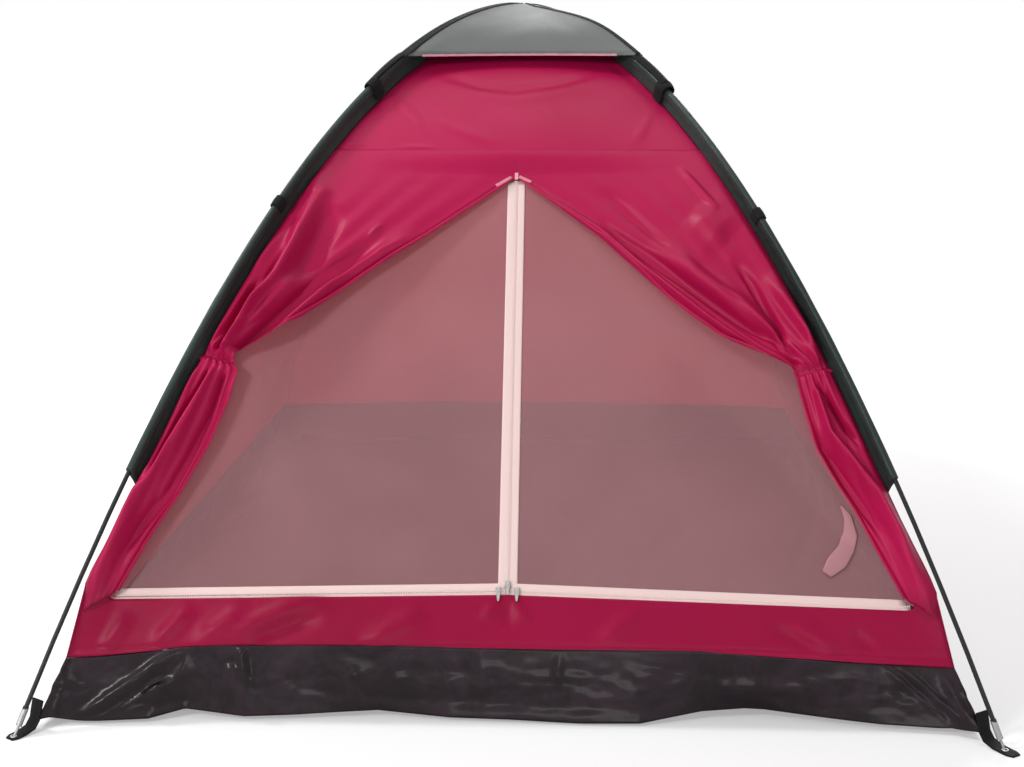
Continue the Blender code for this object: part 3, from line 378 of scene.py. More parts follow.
def tubFilm(name, s):
    made, solid = newFinish(name)
    crumple = made.noise(solid, s["crumple"], 6, 0.65, 1.4)
    trodden = made.span(made.height(solid), 0.006, 0.0035, smooth=False)  # the floor is dull
    tone = made.blend(made.span(crumple, 0.35, 0.7), s["dark"], s["light"])
    rough = made.span(crumple, 0.3, 0.7, *s["rough"])
    made.set(
        Base_Color=made.blend(trodden, tone, s["floor"]),
        Roughness=made.math("MAXIMUM", rough, made.math("MULTIPLY", trodden, 0.75)),
        Normal=made.bump(made.threads(s["weave"]), 0.10, 0.0003, made.bump(crumple, 0.22, 0.008)),
        Specular_IOR_Level=s["shine"], Coat_Weight=s["coat"], Coat_Roughness=s["coatRough"],
    )
    return made.block


# see-through netting: a lattice of fine threads with gaps between them
def insectMesh(name, dark, light, cover, gap=0.20, pitch=0.0016):
    made, solid = newFinish(name)
    weave = made.threads(pitch)
    haze = made.noise(solid, 3.0, 2, 0.5, 0.2)
    shown = made.math("ADD", made.math("MULTIPLY_ADD", weave, gap, cover), made.span(haze, 0.2, 0.8, -0.012, 0.012),
                      clamp=True)
    made.set(Base_Color=made.blend(made.span(haze, 0.3, 0.7), dark, light), Roughness=0.75,
             Normal=made.bump(weave, 0.3, 0.0003), Specular_IOR_Level=0.1)
    made.show(shown, made.add("BsdfTransparent"), made.shader)
    return made.block


# webbing and zip tape: raised ribs along the tape and picks across it
def wovenTape(name, dark, light, pitch=0.0012, rough=0.7, ribHeight=0.0003, sheen=0.0):
    made = Nodes(bpy.data.materials.new(name))
    weave = made.threads(pitch)
    fuzz = made.math("MULTIPLY", made.noise(made.place("UV"), 900, 2, 0.6), 0.25)
    made.set(Base_Color=made.blend(fuzz, made.blend(weave, dark, light), dark), Roughness=rough,
             Normal=made.bump(weave, 0.7, ribHeight), Specular_IOR_Level=0.15, Sheen_Weight=sheen)
    return made.block


# moulded, drawn or cast pieces with a little unevenness
def plainFinish(name, dark, light, scale, rough, metallic=0.0):
    made, solid = newFinish(name)
    grain = made.noise(solid, scale, 4, 0.6)
    made.set(Base_Color=made.blend(grain, dark, light), Roughness=made.span(grain, 0.3, 0.7, *rough),
             Normal=made.bump(grain, 0.25, 0.0004), Metallic=metallic)
    return made.block


# dark glass fibre, with the steel of the tips near the ground
def poleFinish(name, tipTop=0.0395, tipEdge=0.0385):
    made, solid = newFinish(name)
    grain = made.noise(solid, 260, 3, 0.6)
    atTip = made.span(made.height(solid), tipTop, tipEdge, smooth=False)
    glassFibre = made.blend(grain, colour(22, 24, 25), colour(38, 40, 42))
    steel = made.blend(grain, colour(120, 120, 118), colour(160, 160, 158))
    made.set(Base_Color=made.blend(atTip, glassFibre, steel), Metallic=atTip, Specular_IOR_Level=0.2,
             Roughness=made.span(grain, 0.3, 0.7, 0.46, 0.56), Normal=made.bump(grain, 0.12, 0.0002))
    return made.block


# its foot colour is painted shade on the lower part of the doors
crimsonCloth = coatedCloth("crimsonPolyester", dark=colour(184, 17, 77), light=colour(195, 24, 87),
                           foot=colour(160, 12, 64), shine=0.24)
capCloth = coatedCloth("greyCapCloth", dark=colour(105, 108, 107), light=colour(119, 121, 120),
                       crumple=14, crumpleHeight=0.14, rough=(0.56, 0.66), shine=0.14, through=0.12)
sleeveCloth = coatedCloth("charcoalSleeveCloth", dark=colour(31, 40, 38), light=colour(46, 59, 56),
                          weave=0.0010, crumple=34, crumpleHeight=0.35, rough=(0.34, 0.48), through=0.0)
wallCloth = coatedCloth("crimsonWallCloth", dark=colour(184, 34, 84), light=colour(197, 44, 95), through=0.52)
# a darker copy of the crimson cloth for the strip under the zip: painted shade, as the strip faces outward and down
stripClothPaintedShade = coatedCloth("crimsonStripClothPaintedShade", dark=colour(158, 6, 60), light=colour(171, 13, 70))
groundsheet = tubFilm("darkGroundsheet", tubFinish)
doorMesh = insectMesh("pinkInsectMesh", colour(176, 128, 133), colour(185, 136, 141), 0.46)
ventMesh = insectMesh("darkVentMesh", colour(120, 100, 104), colour(140, 118, 122), 0.44)
zipTape = wovenTape("paleZipTape", colour(224, 197, 194), colour(241, 217, 213))
endTape = wovenTape("pinkTapeEnd", colour(204, 122, 142), colour(228, 154, 168))
hemTape = wovenTape("dustyPinkBinding", colour(206, 140, 158), colour(222, 160, 175))
loopTape = wovenTape("mutedLoopTape", colour(166, 118, 124), colour(182, 132, 138))
blackWebbing = wovenTape("blackWebbing", colour(10, 10, 11), colour(26, 26, 28), 0.0022, 0.75, 0.0006, 0.02)
blackTrim = wovenTape("blackTrim", colour(16, 19, 18), colour(36, 41, 39), 0.0014, sheen=0.02)
zipTooth = plainFinish("paleZipCoil", colour(226, 200, 196), colour(240, 217, 212), 600, (0.45, 0.55))
zinc = plainFinish("platedZinc", colour(168, 168, 166), colour(198, 198, 195), 900, (0.22, 0.36), metallic=1.0)
paintedZinc = plainFinish("pinkPaintedZinc", colour(208, 138, 150), colour(228, 164, 174), 600, (0.4, 0.5))
elastic = plainFinish("shockCord", colour(20, 20, 22), colour(44, 44, 46), 800, (0.6, 0.75))
fibre = poleFinish("darkGlassFibre")

for name, obj in nodes.items():
    if "segment" in name or "slider" in name:
        obj.data.materials.clear()
        metal = paintedZinc if name == "storm_zip_slider" else zinc
        obj.data.materials.append(fibre if "segment" in name else metal)
print("materials ready")


# walls

wallSettings = {
    "columns": 84, "rows": 76, "sag": 0.018, "billow": 0.010, "billowScale": 2.1, "crease": 0.0035,
    # tension folds run from the feet up into the wall, by how far they lean in, their rise and their width
    "footFolds": [(0.10, 0.46, 0.020), (0.22, 0.34, 0.028), (0.36, 0.22, 0.036)], "footFoldLow": 0.115,
    # and down from the vent's corners, between two heights
    "headFold": (0.93, 0.70),
}


def onSide(side, depth, across, height):
    outX, outY = sides[side]
    return Vector((outX * depth - outY * across, outY * depth + outX * across, height))


# a point of a wall: u runs from -1 to 1, left to right as seen from outside
def wallPoint(side, u, height, sag=wallSettings["sag"]):
    reach = seamReach(height)
    depth = reach * depthShare[side]
    if side != "front":
        depth -= sag * (1 - u * u) * math.sin(math.pi * min(max(height / tent["ventHeight"], 0), 1))
    return onSide(side, depth, u * reach * halfShare[side], height)


def tubTop(u):
    return mix(tent["tubMiddle"], tent["tubCorner"], u * u)


def frontTubTop(u):
    return tubTop(u) + lookUp(u, tent["frontRaise"])


# 0 at a wall's corner seams and 1 in from them
def offSeam(point, axis=0, share=acrossShare, steep=24):
    return ease((1 - abs(point[axis]) / (seamReach(point.z) * share)) * steep)


def makeWall(side, seed):
    s = wallSettings
    axis, share = 0 if sides[side][1] else 1, halfShare[side]
    half = seamReach(0.1) * share

    def place(across, up):
        u = across * 2 - 1
        return wallPoint(side, u, mix(tubTop(u), tent["ventHeight"], up))

    tall = (place(0.5, 1) - place(0.5, 0)).length * 1.06
    bm = gridSheet(s["columns"], s["rows"], place, (2 * half, tall))
    area = areaOf(bm)
    for vert in bm.verts:
        fromSeams = offSeam(vert.co, axis, share, 5) * ease((vert.co.z - tent["tubCorner"]) / 0.10)
        fromSeams *= ease((tent["ventHeight"] - vert.co.z) / 0.08)
        spot = vert.co * s["billowScale"] + Vector((seed, seed * 1.7, 0))
        vert.co += vert.normal * s["billow"] * fromSeams * noise.fractal(spot, 0.7, 2.1, 3)
    bm.normal_update()
    folds = []
    low, (high, highEnd) = s["footFoldLow"], s["headFold"]
    for sign in (-1, 1):
        for leanIn, rise, width in s["footFolds"]:
            line = [(sign * half * 0.97, low), (sign * half * (0.94 - leanIn), low + rise)]
            folds.append(fold(line, (0.006, width), s["crease"], (0.3, 0), 1))
        line = [(sign * seamReach(high) * 0.40, high), (sign * half * 0.30, highEnd)]
        folds.append(fold(line, (0.008, 0.026), s["crease"], (0.2, 0), 1))
    pressFolds(bm, folds, (axis, 2), keep=lambda point: offSeam(point, axis, share))
    cloth(f"wall_{side}_cloth", bm, wallCloth,
          [f"{side}_wall"], area=area)


for seed, side in enumerate(("rear", "left", "right")):
    makeWall(side, 3.1 + seed * 7.7)
print("walls ready")


# front: the panel over the doors, and the strip under the zip

frontSettings = {
    "columns": (110, 170), "rows": (60, 22), "bulge": 0.010, "tapeShown": 0.0058, "lowGain": 1.7, "overTape": 0.0022,
    "topFolds": [
        fold([(-150, 962), (-72, 941), (-8, 934), (73, 945), (150, 966)], (7, 7), -3.5, (0.2, 0.2)),
        fold([(-150, 946), (-72, 925), (-8, 918), (73, 929), (150, 950)], (10, 10), 3.0, (0.1, 0.1)),
        fold([(-229, 928), (-187, 894), (-146, 859)], (4, 6), 2.4),
        fold([(-156, 885), (-90, 862), (-21, 842)], (6, 10), 1.6),
        fold([(-323, 845), (-253, 841)], (3, 3), 1.6),
        fold([(-217, 838), (-134, 837)], (3, 3), 1.8),
        fold([(235, 896), (213, 862), (195, 840)], (5, 9), 1.8),
        fold([(160, 978), (216, 944)], (6, 6), -1.6),
    ],
    "lowFolds": [
        fold([(-610, 104), (-575, 156)], (9, 10), 3.0),
        fold([(-535, 112), (-478, 166)], (10, 11), 4.4),
        fold([(-470, 116), (-395, 168)], (13, 15), 5.0),
        fold([(-425, 126), (-300, 170)], (15, 20), 6.0, (0.3, 0.5)),
        fold([(-395, 122), (-278, 158)], (14, 16), -5.2),
        fold([(-220, 118), (-120, 162)], (12, 18), 3.6),
        fold([(396, 148), (470, 112)], (8, 8), -3.0),
        fold([(424, 152), (500, 116)], (10, 10), 3.0),
        fold([(512, 146), (555, 110)], (8, 8), -2.6),
        fold([(135, 120), (205, 166)], (12, 16), 2.8),
        # the turned hem along the groundsheet, and puckers under the sliders
        fold([(-680, 99), (-340, 108.5), (0, 112), (340, 108.5), (680, 99)], (2.8, 2.8), 1.6, (1, 1)),
        fold([(-680, 106), (-340, 115.5), (0, 119), (340, 115.5), (680, 106)], (2.8, 2.8), -1.2, (1, 1)),
        fold([(-20, 172), (-34, 150)], (5, 7), 2.2, (0.6, 0)),
        fold([(16, 172), (30, 146)], (5, 8), 2.2, (0.6, 0)),
        fold([(-2, 172), (2, 140)], (4, 6), -2.0, (0.6, 0)),
    ],
}


def makeFrontTop():
    s = frontSettings
    low = tent["doorSeam"] - 0.004

    def place(across, up):
        u = across * 2 - 1
        bulge = s["bulge"] * (1 - u * u) * math.sin(math.pi * min(up, 0.85)) * (1 - up * 0.3)
        return wallPoint("front", u, mix(low, tent["ventHeight"], up)) + panelOut * bulge

    bm = gridSheet(s["columns"][0], s["rows"][0], place, (2 * seamReach(low) * acrossShare, 0.25))
    area = pressFolds(bm, s["topFolds"], keep=offSeam)
    cloth("front_top_cloth", bm, crimsonCloth,
          ["front_top_panel"], area=area)


def makeFrontLow():
    s = frontSettings

    def place(across, up):
        u = across * 2 - 1
        # the upper edge is sewn over the lower tape, and rises past the zip's ends
        past = ease((abs(u) - 0.935) / 0.03)
        shift = tent["zipEndShift"]["left" if u < 0 else "right"]
        rise = (zipEndRise + shift) * abs(u) - s["tapeShown"] + past * 0.030
        height = tent["zipHeight"] + rise * math.cos(frontLean)
        high = onFront(u * seamReach(height) * acrossShare, height, s["overTape"] * (1 - past))
        return wallPoint("front", u, frontTubTop(u)).lerp(high, up)

    bm = gridSheet(s["columns"][1], s["rows"][1], place, (1.30, 0.075))
    area = pressFolds(bm, s["lowFolds"], keep=lambda point: s["lowGain"] * offSeam(point))
    # the strip takes the darker copy of the crimson, which is painted shade
    cloth("front_low_cloth", bm, stripClothPaintedShade, ["front_lower_panel"], area=area)


makeFrontTop()
makeFrontLow()
print("front cloth ready")


# storm doors, tied back like curtains

curtainSettings = {
    "columns": 110, "rows": 170, "clearance": 0.0022, "standOff": 0.016, "foldGain": 2.6, "foot": 0.156,
    "pleats": 5.5, "pleatDepth": 0.0022, "pleatWander": (0.08, 9, 2.2), "crowding": 1.4, "tieShare": 0.555,
    "pinch": 0.62,
    # the hem's ridge and the groove beside it: distance from the edge and width
    "hemHeight": 0.0022, "hemRidge": (0.0032, 0.0030), "hemGroove": (0.0098, 0.0028),
    # by share of the way down: how far the cloth stands off, and how deep its pleats are
    "gather": [(0, 0), (0.12, 0.15), (0.42, 0.80), (0.54, 1.0), (0.60, 1.0), (0.80, 0.75), (1.0, 0.45)],
    "pleatFade": [(0.58, 1.0), (0.70, 0.40), (1.0, 0.25)],
    # each door's tie height, its free edge by share of the way down, x and height, and its folds
    "left": {
        "tie": 0.513,
        "edge": [
            (0.0, 0.0, 0.832), (0.10, 0.0, 0.785), (0.26, 0.158, 0.683), (0.34, 0.243, 0.630), (0.44, 0.346, 0.558),
            (0.49, 0.400, 0.529), (0.53, 0.443, 0.512), (0.56, 0.446, 0.500), (0.59, 0.436, 0.486),
            (0.68, 0.449, 0.438), (0.76, 0.473, 0.379), (0.85, 0.512, 0.312), (0.92, 0.550, 0.256), (1.0, 0.592, 0.182),
        ],
        "folds": [
            fold([(-343, 783), (-330, 762), (-349, 715), (-386, 634), (-430, 579), (-464, 523)],
                 (16, 5.5), 9.5, (0.2, 0.5)),
            fold([(-363, 695), (-385, 664), (-416, 614)], (4, 4), -3.0),
            fold([(-306, 745), (-312, 711), (-332, 664), (-365, 622)], (17, 12), -8.5),
            fold([(-416, 634), (-439, 590), (-470, 533)], (7.0, 3.5), -7.0, (0, 0.5)),
            fold([(-403, 620), (-423, 585), (-442, 553), (-462, 529)], (6.0, 3.0), 4.8, (0, 0.5)),
            fold([(-389, 704), (-437, 641), (-466, 579), (-482, 535)], (8, 4), 5.0, (0, 0.5)),
            fold([(-220, 675), (-313, 634), (-376, 584), (-440, 535)], (16, 7), -11.5, (0, 0.6)),
            fold([(-328, 648), (-378, 606), (-427, 554), (-456, 523)], (20, 5), 6.0, (0, 0.5)),
            fold([(-167, 696), (-273, 642), (-373, 554), (-437, 513)], (12, 7), 7.2, (0.1, 0.4)),
            fold([(-225, 714), (-244, 692)], (4, 4), 1.8),
            fold([(-495, 510), (-527, 455), (-551, 413), (-573, 366)], (6, 7), 6.0, (0.5, 0.2)),
            fold([(-485, 492), (-516, 437), (-538, 397), (-560, 349), (-574, 332)], (4, 5), -8.0, (0.5, 0.2)),
            fold([(-474, 497), (-499, 447), (-524, 397), (-550, 359), (-583, 311), (-602, 255), (-620, 207)],
                 (7, 18), 8.5, (0.5, 0.5)),
            fold([(-460, 488), (-478, 428), (-499, 383), (-530, 323), (-564, 285), (-587, 249), (-608, 201)],
                 (5, 10), -7.0, (0.5, 0.3)),
        ],
    },
    "right": {
        "tie": 0.500,
        "edge": [
            (0.0, 0.0, 0.832), (0.10, 0.0, 0.785), (0.24, 0.142, 0.687), (0.31, 0.197, 0.640), (0.37, 0.253, 0.594),
            (0.41, 0.296, 0.563), (0.44, 0.333, 0.539), (0.48, 0.377, 0.519), (0.52, 0.428, 0.500),
            (0.545, 0.446, 0.494), (0.57, 0.449, 0.482), (0.60, 0.450, 0.470), (0.68, 0.460, 0.428),
            (0.76, 0.476, 0.379), (0.83, 0.505, 0.332), (0.87, 0.527, 0.301), (0.93, 0.558, 0.244), (1.0, 0.594, 0.182),
        ],
        "folds": [
            fold([(30, 770), (142, 701), (207, 648), (258, 612), (318, 569), (381, 532), (440, 503)],
                 (5, 5), 6.0, (0.1, 0.4)),
            fold([(142, 717), (186, 686), (235, 657), (298, 615), (364, 573), (417, 545), (450, 515)],
                 (8, 6), -10.0, (0, 0.5)),
            fold([(228, 695), (298, 633), (365, 595), (417, 549), (450, 522)], (22, 6), 7.0, (0, 0.5)),
            fold([(142, 771), (179, 742), (256, 680), (289, 654)], (10, 8), -3.0),
            fold([(357, 665), (386, 629), (405, 595), (431, 547), (452, 518)], (8, 4), -8.0, (0, 0.5)),
            fold([(408, 641), (436, 602), (467, 556), (480, 520)], (12, 5), 6.0, (0, 0.5)),
            fold([(274, 807), (305, 773), (338, 736)], (4, 6), 2.8),
            fold([(300, 740), (350, 690)], (30, 30), 4.0),
            fold([(483, 482), (519, 425), (545, 396)], (4, 5), -7.0, (0.4, 0)),
            fold([(470, 420), (511, 356), (544, 310), (574, 263)], (6, 10), -6.0),
            fold([(478, 470), (495, 411), (528, 370), (563, 327), (589, 275), (603, 236), (620, 188)],
                 (5, 12), 8.5, (0.5, 0.4)),
        ],
    },
}


def makeCurtain(side, sign):
    s, own = curtainSettings, curtainSettings[side]
    top, tie, foot = tent["doorSeam"], own["tie"], s["foot"]
    wander, waves, seed = s["pleatWander"]
    # height on the pole seam of the cloth's line, by share of the way down
    seamSide = [(0, top), (0.10, mix(top, tie, 0.12)), (0.30, mix(top, tie, 0.44)), (0.45, mix(top, tie, 0.80)),
                (0.54, tie + 0.008), (0.60, tie - 0.010), (0.76, mix(tie, foot, 0.42)), (1.0, foot)]

    def fromSeam(x, height):
        return seamReach(height) * acrossShare - abs(x)

    def place(across, up):
        share = 1 - up
        # columns lie closer together towards the hemmed edge
        u = 1 - (1 - (across if sign < 0 else 1 - across)) ** s["crowding"]
        outerHeight = lookUp(share, seamSide)
        freeX, freeHeight = lookUp(share, own["edge"]), lookUp(share, own["edge"], 2)
        x = mix(seamReach(outerHeight) * acrossShare, freeX, u)
        height = mix(outerHeight, freeHeight, u)
        inwards = fromSeam(x, height)
        wave = math.cos(2 * math.pi * (s["pleats"] * u + wander * math.sin(waves * u + seed)))
        pleat = s["pleatDepth"] * wave * lookUp(share, s["pleatFade"])
        pinch = 1 - s["pinch"] * bell(share, s["tieShare"], 0.016)
        lift = (s["standOff"] - pleat) * lookUp(share, s["gather"]) * pinch * ease(inwards / 0.016)
        fromEdge = math.hypot(x - freeX, height - freeHeight)
        hem = bell(fromEdge, *s["hemRidge"]) - bell(fromEdge, *s["hemGroove"])
        lift += s["clearance"] + s["hemHeight"] * hem * ease((share - 0.09) / 0.04)
        point = onFront(sign * x, height, lift * ease(inwards / 0.005))
        # the upper edge is sewn in just behind the panel over the doors
        point.y = mix(point.y, 0.0012 - seamReach(height) * alongShare, ease(1 - share / 0.10))
        return point

    # the folds fade at the seam and where the tie holds them
    def free(point):
        return ease(fromSeam(point.x, point.z) / 0.007) * (1 - 0.65 * bell(point.z, tie - 0.007, 0.009))

    bm = gridSheet(s["columns"], s["rows"], place, (0.60, 0.66))
    area = pressFolds(bm, own["folds"], direction=panelOut * s["foldGain"], keep=free)
    # the cloth never sinks into the mesh behind it
    for vert in bm.verts:
        least = 0.0004 + s["clearance"] * min(max(fromSeam(vert.co.x, vert.co.z) / 0.010, 0), 1)
        vert.co.y -= max(least - frontDepth(vert.co.x, vert.co.z) + vert.co.y, 0)
    bmesh.ops.smooth_vert(bm, verts=[v for v in bm.verts if not v.is_boundary], factor=0.3, use_axis_y=True)
    cloth(f"storm_door_{side}_cloth", bm, crimsonCloth,
          [f"storm_door_{side}"], area=area, offset=1)


# a tie runs from the pole seam over the gathered cloth and back to the mesh beside it
tieSettings = {
    "tall": 0.0048, "flat": (0.075, 0.010), "slant": (0.0060, -0.0060), "innerX": {"left": 0.4485, "right": 0.4510},
    # by share along the tie: how far it has crossed and how far it stands out
    "run": [(0, 0, 0.0015), (0.12, 0.08, 0.0065), (0.45, 0.48, 0.0108), (0.80, 0.93, 0.0092), (0.95, 1.0, 0.0045),
            (1, 0.97, 0.0010)],
}


def makeTieBack(side, sign):
    s = tieSettings
    middle = curtainSettings[side]["tie"] - 0.007
    outer = seamReach(middle) * acrossShare

    def place(across, up):
        along = across if sign < 0 else 1 - across
        x = mix(outer, s["innerX"][side], lookUp(along, s["run"]))
        out = lookUp(along, s["run"], 2) + 0.0008 * math.sin(math.pi * up)
        return onFront(sign * x, middle + mix(*s["slant"], along) + (up - 0.5) * s["tall"], out)

    bm = gridSheet(48, 8, place, (s["flat"][0], s["tall"]))
    bmesh.ops.smooth_vert(bm, verts=bm.verts, factor=0.5, use_axis_x=True, use_axis_y=True, use_axis_z=True)
    cloth(f"tie_back_{side}_cloth", bm, crimsonCloth, [f"tie_back_{side}"],
          area=min(areaOf(bm), s["flat"][0] * s["tall"]), thick=0.0010, offset=1)


frontHalves = (("left", -1), ("right", 1))
for side, sign in frontHalves:
    makeTieBack(side, sign)
    makeCurtain(side, sign)
print("storm doors ready")


# insect mesh, in two halves, left and right of the zip

meshSettings = {
    "columns": 60, "rows": 110, "blendHalf": 0.004, "fromZip": 0.0120, "fromSeam": 0.0015, "setBack": 0.0003,
    # faint tension folds of the right half: line and widths, in millimetres, and height
    "folds": [([(50, 215), (220, 360)], (12, 20), 1.2), ([(180, 210), (340, 330)], (10, 18), 1.2),
              ([(100, 600), (300, 420)], (14, 20), 1.0), ([(420, 200), (480, 290)], (8, 12), 1.4)],
}


def makeMeshHalf(side, sign):
    s = meshSettings

    def place(across, up):
        outerHeight = mix(tent["zipHeight"] - tent["zipEndDrop"], tent["doorSeam"], up)
        outerX = seamReach(outerHeight) * acrossShare - s["fromSeam"]
        x = mix(s["fromZip"] * ease((0.985 - up) * 40), outerX, across if sign > 0 else 1 - across)
        bottom = tent["zipHeight"] + (zipEndRise * x / tent["zipHalf"] + 0.0008) * math.cos(frontLean)
        return onFront(sign * x, mix(bottom, tent["doorSeam"] - 0.0004, up)) + Vector((0, s["setBack"], 0))

    bm = gridSheet(s["columns"], s["rows"], place, (0.64, 0.80))
    folds = [fold([(sign * x, z) for x, z in line], width, height) for line, width, height in s["folds"]]
    area = pressFolds(bm, folds, direction=-panelOut)
    # a short span across the doors' fold line, from the level zip's end to the apex
    zipEnd, apex = onPanel(sign * tent["zipHalf"], zipEndRise), onPanel(0, apexRise)
    middle = (zipEnd + apex) / 2
    square = (zipEnd - apex).normalized().cross(panelOut).normalized()
    reach = square * math.copysign(s["blendHalf"], square.dot(onPanel(0, 0.2) - middle))
    body = ("tent", f"mesh_door_{side}", middle - reach, middle + reach)
    cloth(f"mesh_front_{side}", bm, doorMesh,
          [f"mesh_door_{side}", "mesh_surround"], body, area=area, thick=0)
    return body


# a loop of tape hangs on the right half, for the rolled door: share, then x and height of its inner and outer edges
loopSettings = {
    "edges": [(0.0, 0.510, 0.306, 0.512, 0.308), (0.2, 0.515, 0.288, 0.526, 0.295), (0.4, 0.513, 0.270, 0.534, 0.266),
              (0.6, 0.504, 0.251, 0.529, 0.244), (0.8, 0.487, 0.236, 0.514, 0.223), (1.0, 0.477, 0.218, 0.490, 0.210)],
}


def makeDoorLoop(body):
    def place(across, up):
        innerX, innerHeight, outerX, outerHeight = (lookUp(up, loopSettings["edges"], n) for n in range(1, 5))
        return onFront(mix(innerX, outerX, across), mix(innerHeight, outerHeight, across),
                       0.0009 + 0.0012 * math.sin(math.pi * across))

    bm = gridSheet(8, 30, place, (0.018, 0.115))
    turnFaces(bm, lambda middle: panelOut)
    bmesh.ops.smooth_vert(bm, verts=bm.verts, factor=0.5, use_axis_x=True, use_axis_z=True)
    cloth("door_loop_right", bm, loopTape, body=body,
          area=min(areaOf(bm), 0.0022), thick=0.0006, offset=1)


meshBodies = [makeMeshHalf(side, sign) for side, sign in frontHalves]
makeDoorLoop(meshBodies[1])
print("mesh ready")


# zips: woven tapes with a coil of teeth

zipSettings = {
    "width": 0.0145, "levelWidth": 0.0125, "fixedShown": 0.0085, "toothPitch": 0.0026, "coilReach": 0.0034,
    "coilRise": 0.0011, "pastEnd": 0.007, "tapeLift": 0.0006,
    # the ends of the storm zip's tapes, folded back beside the apex: x and rise of start and end
    "wings": {"left": ((-0.036, 0.7195), (-0.010, 0.7370)), "right": ((0.006, 0.7380), (0.027, 0.7270))},
    "wingWidth": 0.0058, "wingCut": 0.012, "wingLift": 0.0072,
}


# a strip of tape from start to end, its free edge pointing sideways from the coil
def makeTape(name, start, end, sideways, body, stands, width, cutWidth=None, out=zipSettings["tapeLift"],
             finish=zipTape):
    def place(across, up):
        lift = out + 0.0004 * math.sin(math.pi * across)
        return start.lerp(end, up) + sideways * width * across + panelOut * lift

    length = (end - start).length
    bm = gridSheet(8, max(8, int(length / 0.012)), place, (width, length))
    turnFaces(bm, lambda middle: panelOut)
    cloth(name, bm, finish, stands, body,
          width * length * 0.999, 0.0008)


# one side of the coil: small rounded teeth along the tape's inner edge, between those of the other side
def makeCoil(name, start, end, sideways, body, shift):
    s = zipSettings
    run = (end - start).normalized()
    bm = bmesh.new()
    bmesh.ops.create_cube(bm, size=1)
    bmesh.ops.bevel(bm, geom=list(bm.edges), offset=0.22, segments=1, profile=0.5, affect="EDGES", material=-1)
    turned = Matrix((sideways, run, panelOut)).transposed().to_4x4()
    size = Matrix.Diagonal((s["coilReach"], s["toothPitch"] * 0.48, s["coilRise"], 1))
    where = start + sideways * s["coilReach"] * 0.24 + run * s["toothPitch"] * (1 + shift)
    where += panelOut * (s["tapeLift"] + s["coilRise"] / 2)
    bmesh.ops.transform(bm, matrix=Matrix.Translation(where) @ turned @ size, verts=bm.verts)
    bmesh.ops.recalc_face_normals(bm, faces=bm.faces)
    row = sewn(name, bm, zipTooth, body=body).modifiers.new("row", "ARRAY")
    row.use_relative_offset = False
    row.use_constant_offset = True
    row.constant_offset_displace = run * s["toothPitch"]
    row.count = int((end - start).length / s["toothPitch"]) - 1


# square to a line on the panel, upwards for a sign of 1 and downwards for -1
def acrossLine(start, end, sign):
    square = (end - start).normalized().cross(panelOut)
    return square if square.dot(panelUp) * sign > 0 else -square


def makeZips(side, sign):
    s, half = zipSettings, tent["zipHalf"]
    door = f"mesh_door_{side}"
    inset, reach = half - 0.001, half + s["pastEnd"]
    foot, top = onPanel(sign * 0.0002, 0.0004), onPanel(sign * 0.0002, apexRise - 0.004)
    levelEnd = onPanel(sign * inset, zipEndRise * inset / half + 0.0002 + tent["zipEndShift"][side])
    fixedEnd = onPanel(sign * reach, zipEndRise * reach / half - 0.0002)
    up = acrossLine(foot, levelEnd, 1)
    lowerStands = ["lower_zip_tape"] if side == "left" else []
    for name, start, end, sideways, body, stands, shift, width, cutWidth in (
        ("upright", foot, top, Vector((sign, 0, 0)), door, [f"door_zip_tape_{side}"], 0.5 if sign < 0 else 0,
         s["width"], None),
        ("level", onPanel(sign * 0.002, 0.0004), levelEnd, up, door, [], 0, s["levelWidth"], None),
        ("lower", onPanel(0, -0.0002), fixedEnd, -up, "tent", lowerStands, 0.5, s["fixedShown"], s["levelWidth"]),
    ):
        makeTape(f"zip_{name}_{side}", start, end, sideways, body, stands, width, cutWidth)
        makeCoil(f"zip_{name}_{side}_coil", start, end, sideways, body, shift)
    wing = [onPanel(*spot) for spot in s["wings"][side]]
    makeTape(f"storm_zip_end_{side}", *wing, acrossLine(*wing, -1), "tent", [], s["wingWidth"], s["wingCut"],
             s["wingLift"], endTape)


for side, sign in frontHalves:
    makeZips(side, sign)
print("zips ready")


# groundsheet tub

